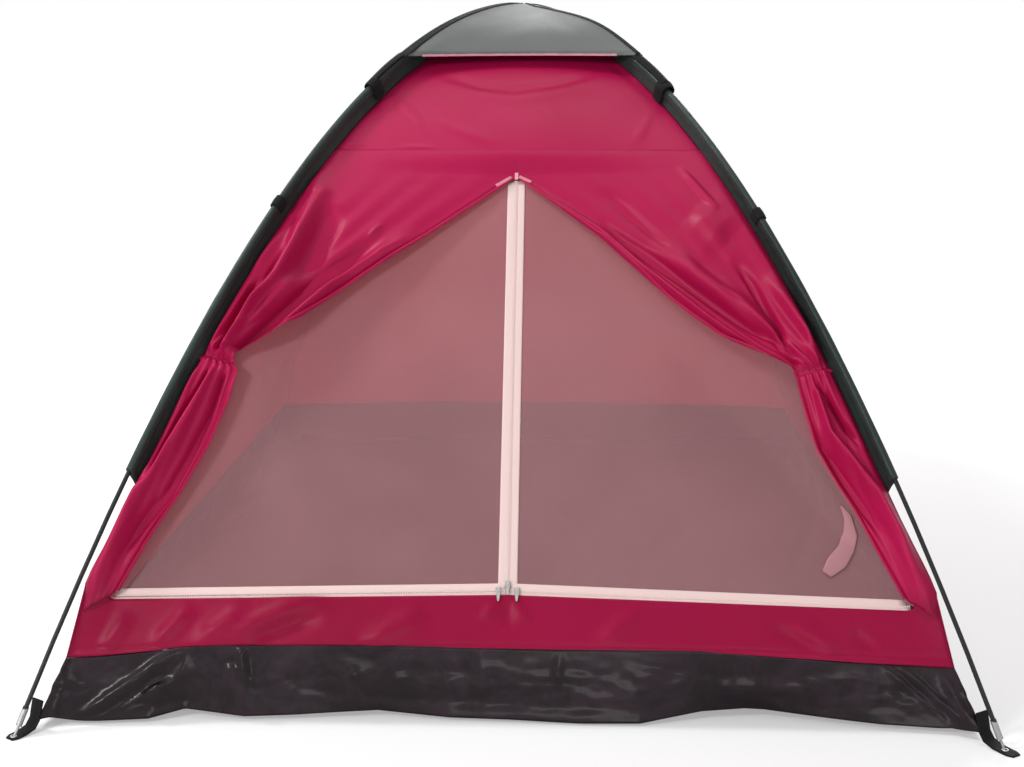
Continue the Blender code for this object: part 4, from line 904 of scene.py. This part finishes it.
tubSettings = {
    "columns": (280, 80), "sideRows": 24, "edgeBow": 0.035, "cornerLift": 0.012, "ground": 0.0006,
    # where the front edge meets the ground, from the left corner to the right one, and how far it draws in and lifts
    "frontEdge": [(-0.700, -0.995), (-0.686, -0.972), (-0.613, -0.969), (-0.539, -0.958), (-0.488, -0.918),
                  (-0.397, -0.945), (-0.315, -0.936), (-0.195, -0.914), (-0.086, -0.938), (0.009, -0.944),
                  (0.111, -0.954), (0.201, -0.953), (0.294, -0.904), (0.371, -0.888), (0.473, -0.918),
                  (0.559, -0.943), (0.660, -0.958), (0.700, -0.995)],
    "drawnIn": 0.55, "liftShare": 0.19,
    # the other edges' waves, the sides' flare and soft bend off the ground, and the uneven film and floor
    "waves": 7.3, "waveLift": 0.006, "flare": 0.11, "footBend": 0.002, "nearEdge": 0.10,
    "rumple": 0.0035, "rumpleScale": (11, 11, 26), "floorRise": 0.0012, "floorScale": 6,
    "folds": [
        fold([(-645, 6), (-564, 60), (-493, 110), (-478, 120)], (8.5, 7.0), 8.5, (0.8, 0.3)),
        fold([(-624, 4), (-550, 48), (-488, 92)], (6.5, 5.5), -4.0, (0.4, 0)),
        fold([(-590, 22), (-536, 46), (-512, 54), (-494, 70), (-482, 100)], (6.0, 5.5), 6.0, (0.3, 0.2)),
        fold([(-545, 34), (-512, 48)], (12, 14), 8.0),
        fold([(-240, 74), (-222, 60)], (14, 14), 5.0),
        fold([(-660, 86), (-640, 50)], (9, 9), 3.0),
        fold([(-401, 118), (-399, 90), (-392, 56)], (6.5, 5.5), 9.5, (0.6, 0)),
        fold([(-388, 114), (-384, 62)], (6, 6), -4.5, (0.3, 0)),
        fold([(-398, 70), (-428, 80)], (9, 10), 6.5),
        fold([(-622, 22), (-554, 31), (-478, 26), (-401, 18)], (12, 12), -4.0),
        fold([(560, 98), (601, 64), (650, 26)], (4, 4), 6.0, (0.2, 0.4)),
        fold([(572, 96), (616, 56), (664, 20)], (5, 5), -5.0, (0.2, 0.3)),
        fold([(585, 98), (628, 58), (680, 18)], (5, 5), 7.0, (0.2, 0.5)),
        fold([(645, 90), (667, 50), (690, 16)], (4, 4), 6.0, (0.3, 0.4)),
        fold([(-172, 100), (-160, 36)], (12, 10), 3.5),
        fold([(-40, 103), (-30, 20)], (6, 6), 3.0, (0.4, 0.1)),
        fold([(80, 104), (75, 54)], (6, 6), 4.0, (0.4, 0)),
        fold([(374, 106), (382, 84), (394, 36)], (6, 8), 5.0, (0.4, 0)),
        fold([(-300, 40), (-84, 31), (141, 26), (300, 34)], (12, 12), -4.0),
        fold([(-300, 60), (-150, 52), (0, 50)], (14, 14), 3.0),
        fold([(150, 70), (300, 60), (500, 46)], (14, 12), 4.0),
    ],
}


def nearRim(share):
    width = tubSettings["nearEdge"]
    return ease((share - 1 + width) / width)


# where the tub's floor turns up, for u, v on the rim of a square from -1 to 1, and how far it lifts
def tubEdge(u, v):
    s = tubSettings
    x = u * (tent["halfWidth"] - s["edgeBow"] * (1 - v * v))
    y = v * (tent["halfLength"] - s["edgeBow"] * (1 - u * u))
    lift = s["ground"]
    nearCorner = nearRim(abs(u)) * nearRim(abs(v))
    if v < -0.999:
        inwards = max(lookUp(x, s["frontEdge"]) - y, 0)
        y += inwards * s["drawnIn"]
        lift += inwards * s["liftShare"]
    elif max(abs(u), abs(v)) > 0.999:
        wave = 0.5 + 0.5 * math.sin(s["waves"] * (u if abs(v) > 0.999 else v) + 1.3 * (u + v))
        lift += s["waveLift"] * wave * (1 - min(abs(u), abs(v)) ** 4)
    return Vector((x, y, mix(lift, s["cornerLift"], nearCorner)))


def tubRim(u, v):
    if abs(v) > 0.999:
        return wallPoint("front", u, frontTubTop(u)) if v < 0 else wallPoint("rear", -u, tubTop(u))
    return wallPoint("left" if u < 0 else "right", -v if u < 0 else v, tubTop(v))


def makeTub():
    s = tubSettings
    bm = bmesh.new()
    uvLayer = bm.loops.layers.uv.new("UVMap")
    bmesh.ops.create_grid(bm, x_segments=s["columns"][0], y_segments=s["columns"][1], size=1, calc_uvs=True)
    # the sides are pulled up from the rim, one row at a time; each vertex keeps its u, v and share up
    rim = [edge for edge in bm.edges if edge.is_boundary]
    marks = {vert: (vert.co.x, vert.co.y, 0.0) for vert in bm.verts}
    for row in range(s["sideRows"]):
        made = bmesh.ops.extrude_edge_only(bm, edges=rim)["geom"]
        fresh = {vert for vert in made if isinstance(vert, bmesh.types.BMVert)}
        marks.update({vert: (vert.co.x, vert.co.y, (row + 1) / s["sideRows"]) for vert in fresh})
        rim = [edge for edge in made if isinstance(edge, bmesh.types.BMEdge) and fresh.issuperset(edge.verts)]
    for face in bm.faces:
        for loop in face.loops:
            u, v, share = marks[loop.vert]
            grow = 1 + share * s["flare"]
            loop[uvLayer].uv = (u * tent["halfWidth"] * grow, v * tent["halfLength"] * grow)
    for vert, (u, v, share) in marks.items():
        foot = tubEdge(u, v)
        if share > 0:
            vert.co = foot.lerp(tubRim(u, v), share)
            vert.co.z += s["footBend"] * math.sin(math.pi * share)
            continue
        inner = max(abs(u), abs(v))
        vert.co = Vector((foot.x, foot.y, s["ground"]))
        if nearRim(inner):
            edge = tubEdge(u / inner, v / inner)
            vert.co = vert.co.lerp(Vector((edge.x * inner, edge.y * inner, edge.z)), nearRim(inner))
    bmesh.ops.recalc_face_normals(bm, faces=bm.faces)
    floorMiddle = min(bm.faces, key=lambda face: face.calc_center_median().xy.length)
    if floorMiddle.normal.z > 0:
        bmesh.ops.reverse_faces(bm, faces=bm.faces)
    bm.normal_update()
    area = min(areaOf(bm), 3.2)
    front = [vert for vert in bm.verts if marks[vert][1] < -0.999 and marks[vert][2] > 0]
    depths = foldDepths(np.array([(vert.co.x, vert.co.z) for vert in front]), s["folds"])
    for vert, depth in zip(front, depths):
        share = marks[vert][2]
        vert.co += panelOut * depth * ease(share * 4) * ease((1 - share) * 8)
    for vert in bm.verts:
        share = marks[vert][2]
        amount = math.sin(math.pi * min(share * 1.05, 1)) if share else 0
        spot = vert.co * Vector(s["rumpleScale"])
        vert.co += vert.normal * s["rumple"] * amount * noise.fractal(spot, 0.6, 2.2, 3)
        if not share:
            spot = Vector((vert.co.x * s["floorScale"], vert.co.y * s["floorScale"], 2))
            vert.co.z += s["floorRise"] * (1 + noise.noise(spot))
    cloth("groundsheet_tub_cloth", bm, groundsheet, ["groundsheet_tub"], area=area,
          thick=0.0010)


makeTub()
print("tub ready")


# sleeves over the poles

sleeveSettings = {
    "around": 30, "along": 190, "tubeRadius": 0.0057, "gapAtCrossing": 0.068, "pucker": 0.0014, "endSlant": 0.007,
    "pipingRadius": 0.0014, "tubeShare": 0.45, "tubeTurn": math.radians(100), "length": 1.16,
    "swell": 0.16, "swellScale": 22, "puckerScale": 46, "pipingOut": 0.0010,
    # half widths of the flat part by distance from the pole
    "halfWidths": [(0.0, 0.0056), (0.006, 0.0052), (0.012, 0.0026), (0.020, 0.0018), (0.040, 0.0013)],
}


# a point beside a pole line: out along its outward normal, side square to its plane
def poleSpot(corner, reach, out=0.0, side=0.0):
    nr, nz = poleNormal(reach, poleTop[corner])
    height = poleHeight(reach, poleTop[corner]) + out * nz
    return outAlong[corner] * (reach + out * nr) + skyward * height + squareTo[corner] * side


# the cloth's seam under a place on the lower pole's line
def seamSpot(corner, reach):
    x, y = corners[corner]
    out, rise = poleNormal(reach, tent["underTop"])
    level = reach - tent["clothBelowPole"] * out
    height = poleHeight(reach, tent["underTop"]) - tent["clothBelowPole"] * rise
    return Vector((x * acrossShare * level, y * alongShare * level, height))


# the sleeve's line, by length from its foot to the crossing
lineReaches = np.linspace(reachAtHeight(tent["sleeveEnd"]), sleeveSettings["gapAtCrossing"], 240)
lineHeights = np.array([poleHeight(reach, tent["underTop"]) for reach in lineReaches])
lineLengths = np.concatenate([[0], np.cumsum(np.hypot(np.diff(lineReaches), np.diff(lineHeights)))])


def sleeveReach(share):
    return float(np.interp(share * lineLengths[-1], lineLengths, lineReaches))


# a tube over the pole that narrows to a flat tail, sewn into the corner seam
def makeSleeve(corner, seed):
    s = sleeveSettings
    radius = s["tubeRadius"]

    def place(across, up):
        turn = 2 * across if across <= 0.5 else 2 - 2 * across
        side = 1 if across <= 0.5 else -1
        reach = sleeveReach(up)
        swell = 1 + s["swell"] * noise.noise(Vector((up * s["swellScale"], seed + 4, 0)))
        if turn < s["tubeShare"]:
            angle = turn / s["tubeShare"] * s["tubeTurn"]
            return poleSpot(corner, reach, radius * math.cos(angle), side * radius * math.sin(angle) * swell)
        share = (turn - s["tubeShare"]) / (1 - s["tubeShare"])
        reach += s["endSlant"] * share * max(0, 1 - up * 25)
        spot = poleSpot(corner, reach)
        tail = seamSpot(corner, reach) - spot
        depth = mix(-radius * math.cos(s["tubeTurn"]), tail.length + 0.0005, share)
        wide = lookUp(depth, s["halfWidths"]) * (swell if share < 0.5 else min(1, (1.001 - share) * 20))
        pucker = noise.noise(Vector((up * s["puckerScale"], seed, share * 2))) * s["pucker"] * 4 * share * (1 - share)
        return spot + tail.normalized() * depth + squareTo[corner] * (side * wide + pucker)

    bm = gridSheet(s["around"] * 2, s["along"], place, (0.10, s["length"]), ring=True)
    turnFaces(bm, lambda middle: squareTo[corner] * middle.dot(squareTo[corner]))
    cloth(f"sleeve_{corner}_cloth", bm, sleeveCloth, [f"sleeve_{corner}"])


# black piping along the seam between sleeve and walls
def makePiping(corner):
    s = sleeveSettings
    radius = s["pipingRadius"]

    def place(across, up):
        reach = sleeveReach(up) + s["endSlant"] * max(0, 1 - up * 25)
        out = poleSpot(corner, reach, 1) - poleSpot(corner, reach)
        turn = across * 2 * math.pi
        return (seamSpot(corner, reach) + out * (s["pipingOut"] + radius * math.cos(turn))
                + squareTo[corner] * radius * math.sin(turn))

    def away(middle):
        x, y = corners[corner]
        reach = seamReach(middle.z)
        return Vector((middle.x - x * acrossShare * reach, middle.y - y * alongShare * reach, 0))

    bm = gridSheet(10, s["along"], place, (2 * math.pi * radius, s["length"]), ring=True)
    turnFaces(bm, away)
    sewn(f"piping_{corner}", bm, blackTrim)


for seed, corner in enumerate(corners):
    makeSleeve(corner, seed * 3.3)
    makePiping(corner)
print("sleeves ready")


# black bands and cap ties over the sleeves

bandSettings = {"height": 0.745, "lower": {"front_right": 0.012}, "width": 0.021, "depth": 0.013, "radius": 0.0074}
saddleTaper = 0.45


# a point on a strip that goes over the sleeve: across runs from one leg's foot to the other's
def saddleSpot(corner, reach, across, radius, depth):
    turn = (across - 0.5) * 2
    half = math.pi * radius / 2
    length = abs(turn) * (half + depth)
    if length < half:
        angle = length / radius
        return poleSpot(corner, reach, radius * math.cos(angle), math.copysign(radius * math.sin(angle), turn))
    taper = 1 - saddleTaper * (length - half) / depth
    return poleSpot(corner, reach, half - length, math.copysign(radius * taper, turn))


# reaches half a width below and above a place on a pole line, measured along it
def reachSpan(corner, middleReach, width):
    rise = poleNormal(middleReach, poleTop[corner])[1]
    return middleReach + rise * width / 2, middleReach - rise * width / 2


def makeBand(corner):
    s = bandSettings
    low, high = reachSpan(corner, reachAtHeight(s["height"] - s["lower"].get(corner, 0)), s["width"])

    def place(across, up):
        radius = s["radius"] + 0.0006 * math.sin(math.pi * up)
        return saddleSpot(corner, mix(low, high, up), across, radius, s["depth"])

    bm = gridSheet(28, 8, place, (0.09, s["width"]))
    turnFaces(bm, lambda middle: middle - poleSpot(corner, (low + high) / 2))
    cloth(f"guy_band_{corner}_strap", bm, blackWebbing,
          [f"guy_band_{corner}"], thick=0.0014, offset=1)


for corner in corners:
    makeBand(corner)
print("bands ready")


# rain cap over the vent, with its ties

capSettings = {
    "reach": 0.367, "lift": 0.0090, "columns": 44, "rows": 40, "thickness": 0.0009, "hemRise": 0.002, "sag": 0.010,
    "tieReach": 0.092, "tieWidth": 0.024, "tieRadius": 0.0088, "tieDepth": 0.024, "strapWidth": 0.018,
    "bindingLength": 0.40, "bindingWide": {"front_left": 0.032}, "bindingPlain": 0.013, "bindingNarrow": 0.007,
    # how far the hem is drawn in between its corners, the line of each ridge and the straps' height over the sleeves
    "hemDrawnIn": 0.030,
    # from which share of the way up, and over how much of it: onto the poles, onto the upper pole, and off the hem
    "ontoPoles": (0.22, 0.50), "ontoTop": (0.86, 0.12), "drawnFade": 0.35, "riseFade": 0.12,
    "ridgeTop": {"front_left": 1.0909, "rear_right": 1.0909, "front_right": 1.0925, "rear_left": 1.0836},
    "strapLift": {"front_right": 0.0055},
    # the hem's strips: their heights beside the hem, how far out they stand and their cut width
    "hem": {"low": -0.0042, "high": 0.0018, "out": 0.0011, "cutWidth": 0.010},
    "edging": {"low": -0.0054, "high": -0.0016, "out": 0.0022, "cutWidth": 0.012, "share": 0.82},
    "folds": [
        fold([(-140, 1005), (-20, 1045), (20, 1090)], (20, 12), -1.6),
        fold([(100, 1010), (50, 1050)], (16, 10), 1.6),
        fold([(-190, 1000), (-130, 1020)], (10, 10), 2.4),
    ],
}
ridgesOf = {
    "front": ("front_left", "front_right"), "right": ("front_right", "rear_right"),
    "rear": ("rear_right", "rear_left"), "left": ("rear_left", "front_left"),
}


# a point of the cap: u from -1 to 1 across a side, share from the hem, 0, to the crossing, 1
def capSpot(side, u, share):
    s = capSettings
    reach = s["reach"] * (1 - share)
    # each ridge lies on its own pole, and all four rise to the upper pole at the crossing
    ontoPoles, ontoTop = (ease((share - start) / run) for start, run in (s["ontoPoles"], s["ontoTop"]))
    first, last = [mix(s["ridgeTop"][c], poleTop[c] - 0.0015, ontoPoles) for c in ridgesOf[side]]
    top = mix(mix(first, last, (u + 1) / 2), tent["overTop"] - 0.003, ontoTop)
    nr, nz = poleNormal(reach, top)
    level = reach + s["lift"] * nr
    depth = level * depthShare[side] - s["hemDrawnIn"] * (1 - u * u) * max(1 - share / s["drawnFade"], 0) ** 2
    # between the ridges the cap sags a little under them
    sag = s["sag"] * (1 - u * u) * math.sin(math.pi * min(max(share * 1.1, 0), 1)) ** 0.8
    height = poleHeight(reach, top) + s["lift"] * nz - sag
    height += s["hemRise"] * (1 - u * u) * max(1 - share / s["riseFade"], 0)
    return onSide(side, depth, u * level * halfShare[side], height)


def makeCap():
    s = capSettings
    bm = bmesh.new()
    bm.loops.layers.uv.new("UVMap")
    for side in sides:
        part = gridSheet(s["columns"], s["rows"],
                         lambda across, up, side=side: capSpot(side, across * 2 - 1, up * 0.999), (0.42, 0.36))
        if side == "front":
            pressFolds(part, s["folds"])
        carrier = bpy.data.meshes.new("carrier")
        part.to_mesh(carrier)
        part.free()
        bm.from_mesh(carrier)
        bpy.data.meshes.remove(carrier)
    weld(bm, 0.0008)
    turnFaces(bm, lambda middle: skyward)
    cloth("rain_cap_cloth", bm, capCloth, ["rain_cap"], "rain_cap",
          thick=s["thickness"], offset=1)


# height of the cap's upper face over a place
def capFace(x, y):
    s = capSettings
    across, along = abs(x) / acrossShare, abs(y) / alongShare
    side = ("left" if x < 0 else "right") if across > along else ("front" if y < 0 else "rear")
    outX, outY = sides[side]
    level = max(across, along, 1e-4)
    reach = max(level - s["lift"] * poleNormal(level, tent["overTop"])[0], 0)
    u = (outX * y - outY * x) / (level * halfShare[side])
    return capSpot(side, u, 1 - reach / s["reach"]).z + s["thickness"]


# dark tape sewn along a ridge of the cap
def makeCapBinding(corner):
    s = capSettings
    wide = s["bindingWide"].get(corner, s["bindingPlain"])

    def place(across, up):
        flat = outAlong[corner] * (s["reach"] * mix(1.018, 0.02, up))
        flat += squareTo[corner] * (across - 0.5) * mix(wide, s["bindingNarrow"], up**0.8)
        return Vector((flat.x, flat.y, capFace(flat.x, flat.y) + 0.0005))

    bm = gridSheet(10, 60, place, (wide, s["bindingLength"]))
    turnFaces(bm, lambda middle: skyward)
    cloth(f"cap_binding_{corner}", bm, blackTrim, body="rain_cap",
          thick=0.0010, offset=1)


# a strip round the cap's hem, between two heights beside it
def makeHemStrip(name, side, finish, low, high, out, cutWidth, share=1.0):
    length = (0.43 if side in ("front", "rear") else 0.61) * share

    def place(across, up):
        u = (across * 2 - 1) * share
        gathers = 0.0007 * math.sin(46 * u + 3 * math.sin(9 * u)) * (1 - up)
        return capSpot(side, u, 0.0) + onSide(side, out + gathers, 0, mix(low, high, up))

    bm = gridSheet(110, 4, place, (length, high - low))
    turnFaces(bm, lambda middle: onSide(side, 1, 0, 0))
    cloth(name, bm, finish, body="rain_cap", thick=0.0009, offset=1)


# the reach that lies a distance further down a pole line
def reachAlong(corner, reach, distance, step=0.001):
    while distance > 0:
        reach += poleNormal(reach, poleTop[corner])[1] * step
        distance -= step
    return reach


def makeCapTie(corner):
    s = capSettings
    low = reachAlong(corner, s["reach"], s["tieReach"])
    ends = reachSpan(corner, low, s["tieWidth"])
    lift = s["strapLift"].get(corner, 0.0)

    def loopPlace(across, up):
        lump = 0.0024 * math.sin(math.pi * up) * (0.7 + 0.3 * math.sin(across * 21 + up * 4))
        return saddleSpot(corner, mix(*ends, up), across, s["tieRadius"] + lift * 0.45 + lump, s["tieDepth"])

    bm = gridSheet(40, 14, loopPlace, (0.09, s["tieWidth"]))
    turnFaces(bm, lambda middle: middle - poleSpot(corner, low))
    cloth(f"cap_tie_{corner}_loop", bm, blackWebbing,
          [f"cap_tie_{corner}"], "rain_cap", thick=0.0018, offset=1)

    def strapPlace(across, up):
        side = (across - 0.5) * (mix(0.014, s["strapWidth"], up) + lift)
        out = s["tieRadius"] + 0.0006 + 0.0010 * math.sin(math.pi * up) + lift * 0.8
        out -= abs(side) * 0.30 + 60 * lift * max(abs(side) - 0.004, 0)
        return poleSpot(corner, mix(low, s["reach"] - 0.004, up), out, side)

    bm = gridSheet(6, 24, strapPlace, (0.016, s["tieReach"]))
    turnFaces(bm, lambda middle: skyward)
    wide = s["strapWidth"] + lift
    cloth(f"cap_tie_{corner}_strap", bm, blackWebbing,
          body="rain_cap", area=min(areaOf(bm), wide * s["tieReach"]), thick=0.0016, offset=1)


# the roof's square of netting, from the walls' upper edges to under the crossing
def makeVent(low=tent["ventHeight"] + 0.0006, high=1.044):
    def place(across, up):
        number = min(int(across * 4), 3)
        side = ("front", "right", "rear", "left")[number]
        return wallPoint(side, (across * 4 - number) * 2 - 1, mix(low, high, up), sag=0)

    bm = gridSheet(96, 20, place, (1.6, 0.25), ring=True)
    weld(bm, 0.0004)
    cloth("roof_vent_cloth", bm, ventMesh, ["roof_vent_mesh"], thick=0)


makeCap()
for corner in corners:
    makeCapBinding(corner)
    makeCapTie(corner)
for side in sides:
    makeHemStrip(f"cap_hem_{side}", side, capCloth, **capSettings["hem"])
makeHemStrip("cap_edging_front", "front", hemTape, **capSettings["edging"])
makeVent()
print("cap ready")


# corner webbing with eyelets

tabSettings = {
    "width": 0.024, "thickness": 0.0022, "eyeletRadius": 0.0042, "eyeletWire": 0.0011, "eyeletHeight": 0.0030,
    "tails": {"front_left": 0.008, "front_right": 0.021, "rear_left": 0.016, "rear_right": 0.016},
    "taper": [(0, 1.0), (0.3, 0.95), (0.9, 0.95), (1.0, 0.62)],
}


def makeTab(corner):
    s = tabSettings
    end = footReach + s["tails"][corner]
    line = [(cornerReach - 0.006, 0.046), (cornerReach + 0.0015, 0.018), (cornerReach + 0.010, 0.0075),
            (footReach - 0.014, 0.0030), (footReach + 0.004, 0.0016), (end - 0.003, 0.0013), (end, 0.0013)]
    spaced = np.concatenate([[0], np.cumsum([math.dist(a, b) for a, b in zip(line, line[1:])])])
    rows = [(at, *spot) for at, spot in zip(spaced, line)]
    length = float(spaced[-1])

    def place(across, up):
        reach, height = lookUp(up * length, rows), lookUp(up * length, rows, 2)
        side = (across - 0.5) * s["width"] * lookUp(up, s["taper"])
        return outAlong[corner] * reach + skyward * height + squareTo[corner] * side

    bm = gridSheet(10, 40, place, (s["width"], length))
    for _ in range(3):
        bmesh.ops.smooth_vert(bm, verts=[v for v in bm.verts if not v.is_boundary], factor=0.5, use_axis_z=True)
    turnFaces(bm, lambda middle: skyward)
    cloth(f"corner_tab_{corner}_strap", bm, blackWebbing,
          [f"corner_tab_{corner}"], thick=s["thickness"], offset=0)

    # a spun steel eyelet takes the pole's tip
    bm = bmesh.new()
    section = Matrix.Translation((s["eyeletRadius"], 0, 0)) @ Matrix.Rotation(math.pi / 2, 4, "X")
    bmesh.ops.create_circle(bm, segments=10, radius=s["eyeletWire"], matrix=section)
    bmesh.ops.spin(bm, geom=list(bm.verts) + list(bm.edges), cent=(0, 0, 0), axis=(0, 0, 1), angle=2 * math.pi,
                   steps=28, use_merge=True)
    weld(bm, 1e-6)
    bmesh.ops.translate(bm, verts=bm.verts, vec=outAlong[corner] * footReach + skyward * s["eyeletHeight"])
    sewn(f"eyelet_{corner}", bm, zinc)


# the elastic inside a pole, on the CAD's own line
def makeShockCord(name):
    bm = bmesh.new()
    bm.from_mesh(nodes[name].data)
    bmesh.ops.remove_doubles(bm, verts=bm.verts, dist=1e-5)
    sewn(name.replace("shock", "elastic"), bm, elastic, [name])


for corner in corners:
    makeTab(corner)
for name in ("pole_a_shock_cord", "pole_b_shock_cord"):
    makeShockCord(name)
print("webbing ready")


# studio: pale floor, white surroundings, soft lamps and the camera

studio = {
    "camera": (0.08518, -3.21262, 0.95512), "yaw": 1.941, "pitch": 10.864, "lens": 56.015, "ambient": 0.33,
    # each lamp's place, what it aims at, its size and its power
    "lamps": {
        "keyLamp": ((-2.9, -3.5, 2.3), (0, -0.5, 0.5), 0.9, 84),
        "lowLamp": ((0.2, -4.0, 0.22), (0, -0.4, 0.7), 1.3, 21),
        "sideLamp": ((-2.4, -0.3, 3.6), (0, -0.4, 0.5), 0.7, 72),
        "fillLamp": ((3.0, -3.6, 1.8), (0, -0.4, 0.5), 1.6, 15),
        "topLamp": ((0.0, -0.1, 4.5), (0, 0.1, 0.4), 2.6, 36),
        "backLamp": ((0.6, 4.0, 3.0), (0, 0.5, 0.5), 2.4, 168),
    },
    # the floor fades to white between two distances
    "floorSize": 9.0, "floorFade": (1.7, 3.2),
}


def makeCamera(s):
    data = bpy.data.cameras.new("camera")
    data.lens, data.sensor_width, data.clip_end = s["lens"], 36, 60
    camera = bpy.data.objects.new("camera", data)
    camera.location = s["camera"]
    camera.rotation_euler = (math.radians(90 - s["pitch"]), 0, math.radians(s["yaw"]))
    bpy.context.scene.collection.objects.link(camera)
    bpy.context.scene.camera = camera


def makeLamp(name, place, aim, size, power):
    light = bpy.data.lights.new(name, "AREA")
    light.shape, light.size, light.energy = "DISK", size, power
    holder = bpy.data.objects.new(name, light)
    holder.location = place
    holder.rotation_euler = (Vector(aim) - Vector(place)).to_track_quat("-Z", "Y").to_euler()
    bpy.context.scene.collection.objects.link(holder)


# white where it's seen, and dimmer where it only lights
def makeWorld(s):
    world = Nodes(bpy.data.worlds.new("studioWorld"))
    bpy.context.scene.world = world.block
    path = world.add("LightPath").outputs
    seen = world.math("MAXIMUM", path["Is Camera Ray"], path["Is Glossy Ray"])
    seen = world.math("MAXIMUM", seen, path["Is Transmission Ray"])
    world.set(Color=(1, 1, 1, 1), Strength=world.span(seen, 0.0, 1.0, s["ambient"], 1.0, smooth=False))


def makeFloor(s):
    made = Nodes(bpy.data.materials.new("paleFloor"))
    distance = made.add("VectorMath", {0: made.place()}, operation="LENGTH").outputs["Value"]
    made.set(Base_Color=(0.96, 0.96, 0.96, 1), Roughness=0.9, Specular_IOR_Level=0.1)
    white = made.add("Emission", {"Color": (1, 1, 1, 1), "Strength": 1.0})
    far = made.span(distance, *s["floorFade"], 0.35, 1.0)
    made.show(made.math("MULTIPLY", far, made.add("LightPath").outputs["Is Camera Ray"]), made.shader, white)
    bm = bmesh.new()
    bmesh.ops.create_circle(bm, cap_ends=True, segments=64, radius=s["floorSize"])
    newObject("studio_floor", bm, made.block)


makeCamera(studio)
for name, lamp in studio["lamps"].items():
    makeLamp(name, *lamp)
makeWorld(studio)
makeFloor(studio)
bpy.context.scene.view_settings.view_transform = "Standard"
print("studio ready")

bpy.context.view_layer.update()
